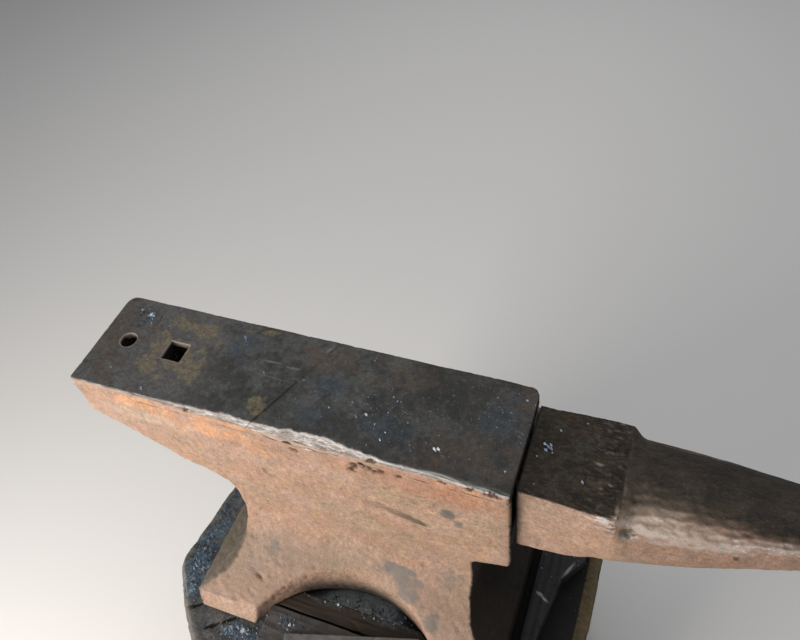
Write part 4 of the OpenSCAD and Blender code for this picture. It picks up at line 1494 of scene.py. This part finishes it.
boardWork = {
    "cell": 0.0015,
    "softening": 2,
    "grainCell": (0.09, 0.006, 0.006),
    "grainDepth": 0.0007,
    "splitCell": (0.05, 0.011, 0.02),
    "splitDepth": 0.0018,
    "warpCell": 0.08,
    "warpDepth": 0.0006,
    # where blue-grey dust lies: centre, radius along X, Y and Z
    "dusty": [
        ((-0.045, -0.114, 0.5), (0.03, 0.008, 0.02), 0.7),
        ((0.0, -0.109, 0.5), (0.04, 0.006, 0.02), 0.6),
        ((0.045, -0.114, 0.5), (0.03, 0.007, 0.02), 0.7),
        ((-0.079, -0.158, 0.5), (0.018, 0.011, 0.02), 0.8),
    ],
    # painted highlights on the wedge: start, end, half width, depth
    "shine": [
        ((0.236, 0.0246, 0.502), (0.2245, 0.0005, 0.502), 0.002, 0.0012),
        ((0.1985, -0.0255, 0.502), (0.2085, -0.0292, 0.502), 0.0026, 0.0016),
        ((0.206, -0.03, 0.502), (0.2155, -0.0342, 0.502), 0.0022, 0.0014),
    ],
}

barWork = {
    "cell": 0.0011,
    "softening": 3,
    "broadCell": 0.04,
    "broadDepth": 0.0003,
    "dentCell": 0.012,
    "dentDepth": 0.0004,
    "skinCell": 0.004,
    "skinDepth": 0.0001,
    "pitCell": 0.006,
    "pitShare": 0.12,
    "pitDepth": 0.0003,
}


def grainAxes(points, turn):
    # coordinates along and across the grain of a piece turned about Z
    angle = math.radians(turn)
    along = points[:, 0] * math.cos(angle) + points[:, 1] * math.sin(angle)
    across = points[:, 1] * math.cos(angle) - points[:, 0] * math.sin(angle)
    return np.stack([along, across, points[:, 2]], axis=1)


def makeBoard(node, name, work, turn, seed):
    board = evenSkin(node, name, work["cell"], work["softening"])
    mesh = board.data
    points = getPoints(mesh)
    normals = getNormals(mesh)
    lengthwise = grainAxes(points, turn)
    fibres = noiseOver(lengthwise, work["grainCell"], 3, seed)
    splits = np.clip(np.abs(noiseOver(lengthwise, work["splitCell"], 2, seed + 2)) * -6 + 1, 0, 1)
    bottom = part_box(node)[0].z
    resting = 1 - smoothStep(points[:, 2], bottom, bottom + 0.002)
    move = -work["grainDepth"] * np.abs(fibres)
    move += work["warpDepth"] * noiseOver(points, work["warpCell"], 2, seed + 4)
    move -= work["splitDepth"] * splits * smoothStep(noiseOver(lengthwise, 0.04, 2, seed + 6), 0.0, 0.4)
    move = np.minimum(move, 0.0) * (1 - resting)
    setPoints(mesh, points + normals * move[:, None])
    paintLayer(mesh, "fibres", fibres * 0.5 + 0.5)
    paintLayer(mesh, "edge", np.clip(standOut(mesh, 2, 0.0003), 0, 1))
    dusty = patchesOver(points, work["dusty"], 1.2, 0.008, 3.0) if node != "wedge" else points[:, 0] * 0
    paintLayer(mesh, "dusty", dusty)
    paintLayer(mesh, "shine", np.clip(cutsOver(points, work["shine"]) / 0.001, 0, 1))
    return board


def woodFinish(name, dark, light, dusty, seed):
    finish, tree, shader = startFinish(name)
    fibres = blend(tree, 0.5, layer(tree, "fibres"), grain(tree, (0.03, 0.003, 0.003), 5.0, 0.7, seed))
    colour = blend(tree, between(tree, fibres, 0.35, 0.65), dark, light)
    stain = patchy(tree, 0.025, 5.0, 0.65, seed + 3, 0.42, 0.66)
    colour = blend(tree, times(tree, stain, 0.5), colour, dusty)
    edge = times(tree, layer(tree, "edge"), patchy(tree, 0.01, 4.0, 0.6, seed + 5, 0.35, 0.6))
    colour = blend(tree, times(tree, edge, 0.6), colour, light)
    dust = mottled(tree, (0.06, 0.072, 0.08), 0.005, 0.5, 1.7, seed + 9)
    specks = uneven(tree, 0.003, 3.0, 0.7, seed + 13, 0.2, 1.0)
    colour = blend(tree, times(tree, layer(tree, "dusty"), specks), colour, dust)
    # painted highlights on the wedge
    colour = laid(tree, "shine", 0.8, colour, (0.4, 0.4, 0.42))
    plug(tree, shader.inputs["Base Color"], colour)
    shader.inputs["Roughness"].default_value = 0.85
    shader.inputs["Specular IOR Level"].default_value = 0.25
    raised(tree, shader, grain(tree, (0.02, 0.0018, 0.0018), 4.0, 0.7, seed + 7), 0.0005, 0.8)
    return finish


def makeBar(work):
    bar = evenSkin("flat_bar", "flatBar", work["cell"], work["softening"])
    mesh = bar.data
    points = getPoints(mesh)
    normals = getNormals(mesh)
    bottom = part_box("flat_bar")[0].z
    resting = 1 - smoothStep(points[:, 2], bottom, bottom + 0.0015)
    move = ironSkin(points, work, 15.0) * (1 - resting)
    setPoints(mesh, points + normals * move[:, None])
    paintLayer(mesh, "edge", np.clip(standOut(mesh, 2, 0.00025), 0, 1))
    return bar


def barFinish():
    finish, tree, shader = startFinish("greyBarSteel")
    tones = {
        "grey": (0.13, 0.13, 0.128),
        "dark": (0.07, 0.068, 0.065),
        "rust": (0.12, 0.08, 0.055),
        "bright": (0.3, 0.3, 0.3),
    }
    cloud = patchy(tree, (0.02, 0.02, 0.02), 6.0, 0.65, 5.0, 0.35, 0.65)
    colour = blend(tree, cloud, tones["dark"], tones["grey"])
    rust = patchy(tree, 0.014, 6.0, 0.7, 12.0, 0.52, 0.68)
    colour = blend(tree, times(tree, rust, 0.6), colour, tones["rust"])
    colour = laid(tree, "edge", 0.5, colour, tones["bright"])
    plug(tree, shader.inputs["Base Color"], colour)
    plug(tree, shader.inputs["Roughness"], sums(tree, "ADD", 0.45, times(tree, rust, 0.3)))
    shader.inputs["Metallic"].default_value = 0.4
    raised(tree, shader, grain(tree, 0.002, 4.0, 0.7, 2.0), 0.0003, 0.6)
    return finish


# each wood: dark and light tone, dust, and where its noise starts
woods = {
    "brownBoardWood": ((0.026, 0.02, 0.014), (0.044, 0.033, 0.023), (0.036, 0.034, 0.03), 3.0),
    "greyBoardWood": ((0.05, 0.044, 0.04), (0.1, 0.09, 0.082), (0.09, 0.095, 0.1), 5.0),
    "darkWedgeWood": ((0.02, 0.02, 0.02), (0.042, 0.041, 0.04), (0.034, 0.036, 0.04), 8.0),
}
innerWood, outerWood, wedgeWood = [woodFinish(name, *tones) for name, tones in woods.items()]
innerBoard = makeBoard("inner_board", "innerBoard", boardWork, 0.0, 2.0)
finishPiece(innerBoard, innerWood, "packing_wood", "inner_board")
outerBoard = makeBoard("outer_board", "outerBoard", boardWork, 0.0, 7.0)
finishPiece(outerBoard, outerWood, "packing_wood", "outer_board")
finishPiece(makeBar(barWork), barFinish(), "bar_steel", "flat_bar")
finishPiece(makeBoard("wedge", "frontWedge", boardWork, 90.0, 12.0), wedgeWood, "wedge_wood", "wedge")


# Forge scale: thin flakes that fell on the stump, the face and the table

flakeWork = {
    "seed": 41,
    "corners": (5, 8),
    "thickness": (0.0003, 0.0007),
    # each heap: centre, spread along X and Y, how many, smallest and largest size
    "stumpHeaps": [
        ((-0.238, -0.05), (0.012, 0.025), 70, 0.0016, 0.0042),
        ((-0.242, -0.12), (0.014, 0.022), 230, 0.0018, 0.0058),
        ((-0.145, -0.183), (0.014, 0.007), 150, 0.002, 0.0065),
        ((-0.235, 0.06), (0.02, 0.05), 120, 0.0014, 0.004),
        ((0.01, -0.103), (0.045, 0.005), 240, 0.002, 0.0062),
        ((0.0, -0.114), (0.05, 0.003), 120, 0.0018, 0.005),
        ((-0.08, -0.157), (0.01, 0.006), 50, 0.0016, 0.0048),
        ((0.0, -0.2), (0.13, 0.03), 160, 0.0014, 0.0042),
        ((0.235, 0.08), (0.03, 0.05), 80, 0.0014, 0.004),
        ((0.0, 0.18), (0.17, 0.06), 300, 0.0014, 0.0045),
        ((0.2, -0.16), (0.06, 0.04), 120, 0.0014, 0.0042),
        ((-0.2, 0.14), (0.05, 0.06), 160, 0.0014, 0.0045),
    ],
    "stumpFlakes": [
        (-0.2354, -0.0366, 0.008), (-0.242, -0.1, 0.006), (-0.14, -0.18, 0.008), (-0.152, -0.186, 0.0075),
        (-0.134, -0.176, 0.007), (-0.148, -0.178, 0.006),
        (-0.159, -0.188, 0.006), (-0.0776, -0.1587, 0.006),
        (0.0259, -0.1047, 0.006), (0.012, -0.107, 0.0065), (-0.025, -0.105, 0.006), (0.0, -0.1, 0.0065),
        (-0.244, -0.128, 0.007), (-0.237, -0.14, 0.006),
        (-0.248, -0.115, 0.006), (-0.2414, -0.152, 0.006),
        (0.034, -0.112, 0.006), (0.042, -0.111, 0.005), (-0.03, -0.117, 0.0045), (-0.047, -0.119, 0.004),
    ],
    "faceHeaps": [
        ((-0.284, 0.041), (0.011, 0.006), 60, 0.0014, 0.0055),
        ((-0.262, 0.034), (0.014, 0.005), 24, 0.0012, 0.004),
        ((0.035, 0.0), (0.03, 0.02), 50, 0.001, 0.003),
        ((0.14, 0.02), (0.025, 0.025), 150, 0.0008, 0.0026),
        ((0.04, -0.012), (0.035, 0.022), 90, 0.001, 0.0034),
        ((-0.1, 0.0), (0.1, 0.04), 30, 0.0007, 0.0018),
    ],
    # single flakes that stand out: place on the face, size, and tone if it is bright
    "faceFlakes": [
        (-0.2856, 0.0405, 0.0062), (-0.279, 0.0372, 0.004),
        (-0.2362, -0.0522, 0.0052), (-0.287, -0.037, 0.0036),
        (-0.1559, 0.0418, 0.0066), (-0.1535, 0.0378, 0.004),
        (-0.1128, 0.0033, 0.0034), (-0.0022, 0.0508, 0.0034),
        (0.0055, -0.0205, 0.0052), (0.0144, -0.0154, 0.0044),
        (0.0401, 0.0084, 0.0042), (0.034, 0.012, 0.003),
        (0.0938, -0.034, 0.0066, 1.0), (0.0974, -0.0328, 0.0058, 1.0),
        (0.1649, 0.0455, 0.004), (0.1639, -0.0372, 0.0042),
        (0.0387, -0.0385, 0.0034), (0.0406, -0.0297, 0.003),
        (-0.2504, -0.0167, 0.0024), (-0.0257, -0.0182, 0.0028),
        (-0.2838, 0.0424, 0.0074, 0.95), (-0.2802, 0.0416, 0.005, 0.8),
    ],
    "tableHeaps": [],
    "tableFlakes": [
        (0.1947, 0.0047, 0.0085), (0.1985, 0.0035, 0.0058),
        (0.1915, 0.0065, 0.0055), (0.2325, -0.0225, 0.0052),
        (0.197, 0.0075, 0.0045), (0.1935, 0.001, 0.0045), (0.2, -0.0005, 0.003),
        (0.1913, -0.0372, 0.0026), (0.2025, 0.0256, 0.0034),
        (0.2255, 0.0407, 0.003), (0.187, -0.0078, 0.0026),
    ],
}


def groundBelow(surfaces, x, y, fromHeight):
    # highest of the surfaces straight below a point, with its slope
    best = None
    for tree in surfaces:
        place, normal, _, _ = tree.ray_cast(Vector((x, y, fromHeight)), Vector((0, 0, -1)))
        if place is not None and (best is None or place.z > best[0].z):
            best = (place, normal)
    return best


def addFlake(points, faces, tones, place, normal, size, tone, rng, work):
    corners = rng.randint(*work["corners"])
    thick = rng.uniform(*work["thickness"])
    lean = Vector((rng.uniform(-0.25, 0.25), rng.uniform(-0.25, 0.25), 0))
    up = (normal + lean).normalized()
    side = up.orthogonal().normalized()
    front = up.cross(side)
    stretch = rng.uniform(0.35, 0.85)
    start = rng.uniform(0, 2 * math.pi)
    first = len(points)
    centre = place + up * (thick * 0.8 + size * 0.06)
    for height in (0.0, thick):
        for corner in range(corners):
            angle = start + 2 * math.pi * (corner + rng.uniform(-0.25, 0.25)) / corners
            reach = size * 0.5 * rng.uniform(0.4, 1.2)
            inset = 1.0 if height == 0.0 else 0.86
            turned = side * math.cos(angle) * stretch + front * math.sin(angle)
            points.append(centre + turned * reach * inset + up * height)
            tones.append(tone)
    faces.append(tuple(first + corner for corner in reversed(range(corners))))
    faces.append(tuple(first + corners + corner for corner in range(corners)))
    for corner in range(corners):
        after = (corner + 1) % corners
        faces.append((first + corner, first + after, first + corners + after, first + corners + corner))


def scatterFlakes(name, surfaces, heaps, singles, fromHeight, lowest, index, work):
    rng = random.Random(work["seed"] + index)
    points, faces, tones = [], [], []
    for centre, spread, count, smallest, largest in heaps:
        for _ in range(count):
            x = rng.gauss(centre[0], spread[0])
            y = rng.gauss(centre[1], spread[1])
            size = smallest + (largest - smallest) * rng.random() ** 2.5
            tone = rng.random() ** 1.6 * 0.8
            ground = groundBelow(surfaces, x, y, fromHeight)
            if ground and ground[1].z > 0.8 and ground[0].z > lowest:
                addFlake(points, faces, tones, ground[0], ground[1], size, tone, rng, work)
    for x, y, size, *bright in singles:
        ground = groundBelow(surfaces, x, y, fromHeight)
        tone = bright[0] if bright else rng.uniform(0.5, 0.85)
        if ground:
            addFlake(points, faces, tones, ground[0], ground[1], size, tone, rng, work)
    mesh = bpy.data.meshes.new(name)
    mesh.from_pydata([tuple(point) for point in points], [], faces)
    mesh.update()
    paintLayer(mesh, "tone", tones)
    return newPiece(name, mesh)


def flakeFinish():
    finish, tree, shader = startFinish("forgeScale")
    tone = layer(tree, "tone")
    colour = shades(tree, tone, [
        (0.0, (0.045, 0.05, 0.058)),
        (0.35, (0.09, 0.135, 0.19)),
        (0.7, (0.25, 0.31, 0.37)),
        (1.0, (0.8, 0.82, 0.83)),
    ])
    fine = grain(tree, 0.0012, 3.0, 0.6, 4.0)
    mottle = shades(tree, fine, [(0.3, (0.4, 0.4, 0.4)), (0.7, (0.6, 0.6, 0.6))])
    colour = blend(tree, 0.35, colour, mottle, "OVERLAY")
    plug(tree, shader.inputs["Base Color"], colour)
    shader.inputs["Metallic"].default_value = 0.3
    shader.inputs["Roughness"].default_value = 0.42
    raised(tree, shader, fine, 0.0002, 0.5)
    return finish


def surfaceOf(*names):
    depsgraph = bpy.context.evaluated_depsgraph_get()
    return [BVHTree.FromObject(bpy.data.objects[name], depsgraph) for name in names]


scale = flakeFinish()
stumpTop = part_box("stump")[1].z
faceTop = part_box("face_plate_front")[1].z
clear = surfaceOf("stumpLog", "innerBoard", "outerBoard", "frontWedge")
plates = surfaceOf("facePlateHeel", "facePlateFront")
table = surfaceOf("hornBlock")
# each layer of scale: name, what it fell on, heaps, single flakes, from how high, its lowest place, slot
layers = (
    ("scaleOnStump", clear, "stumpHeaps", "stumpFlakes", stumpTop + 0.04, stumpTop - 0.006, "face_steel"),
    ("scaleOnFace", plates, "faceHeaps", "faceFlakes", faceTop + 0.05, faceTop - 0.004, "face_steel"),
    ("scaleOnTable", table, "tableHeaps", "tableFlakes", faceTop + 0.05, 0.0, "horn_iron"),
)
for index, (name, under, heaps, singles, fromHeight, lowest, slot) in enumerate(layers):
    plan = (flakeWork[heaps], flakeWork[singles])
    fallen = scatterFlakes(name, under, *plan, fromHeight, lowest, index, flakeWork)
    finishPiece(fallen, scale, slot)
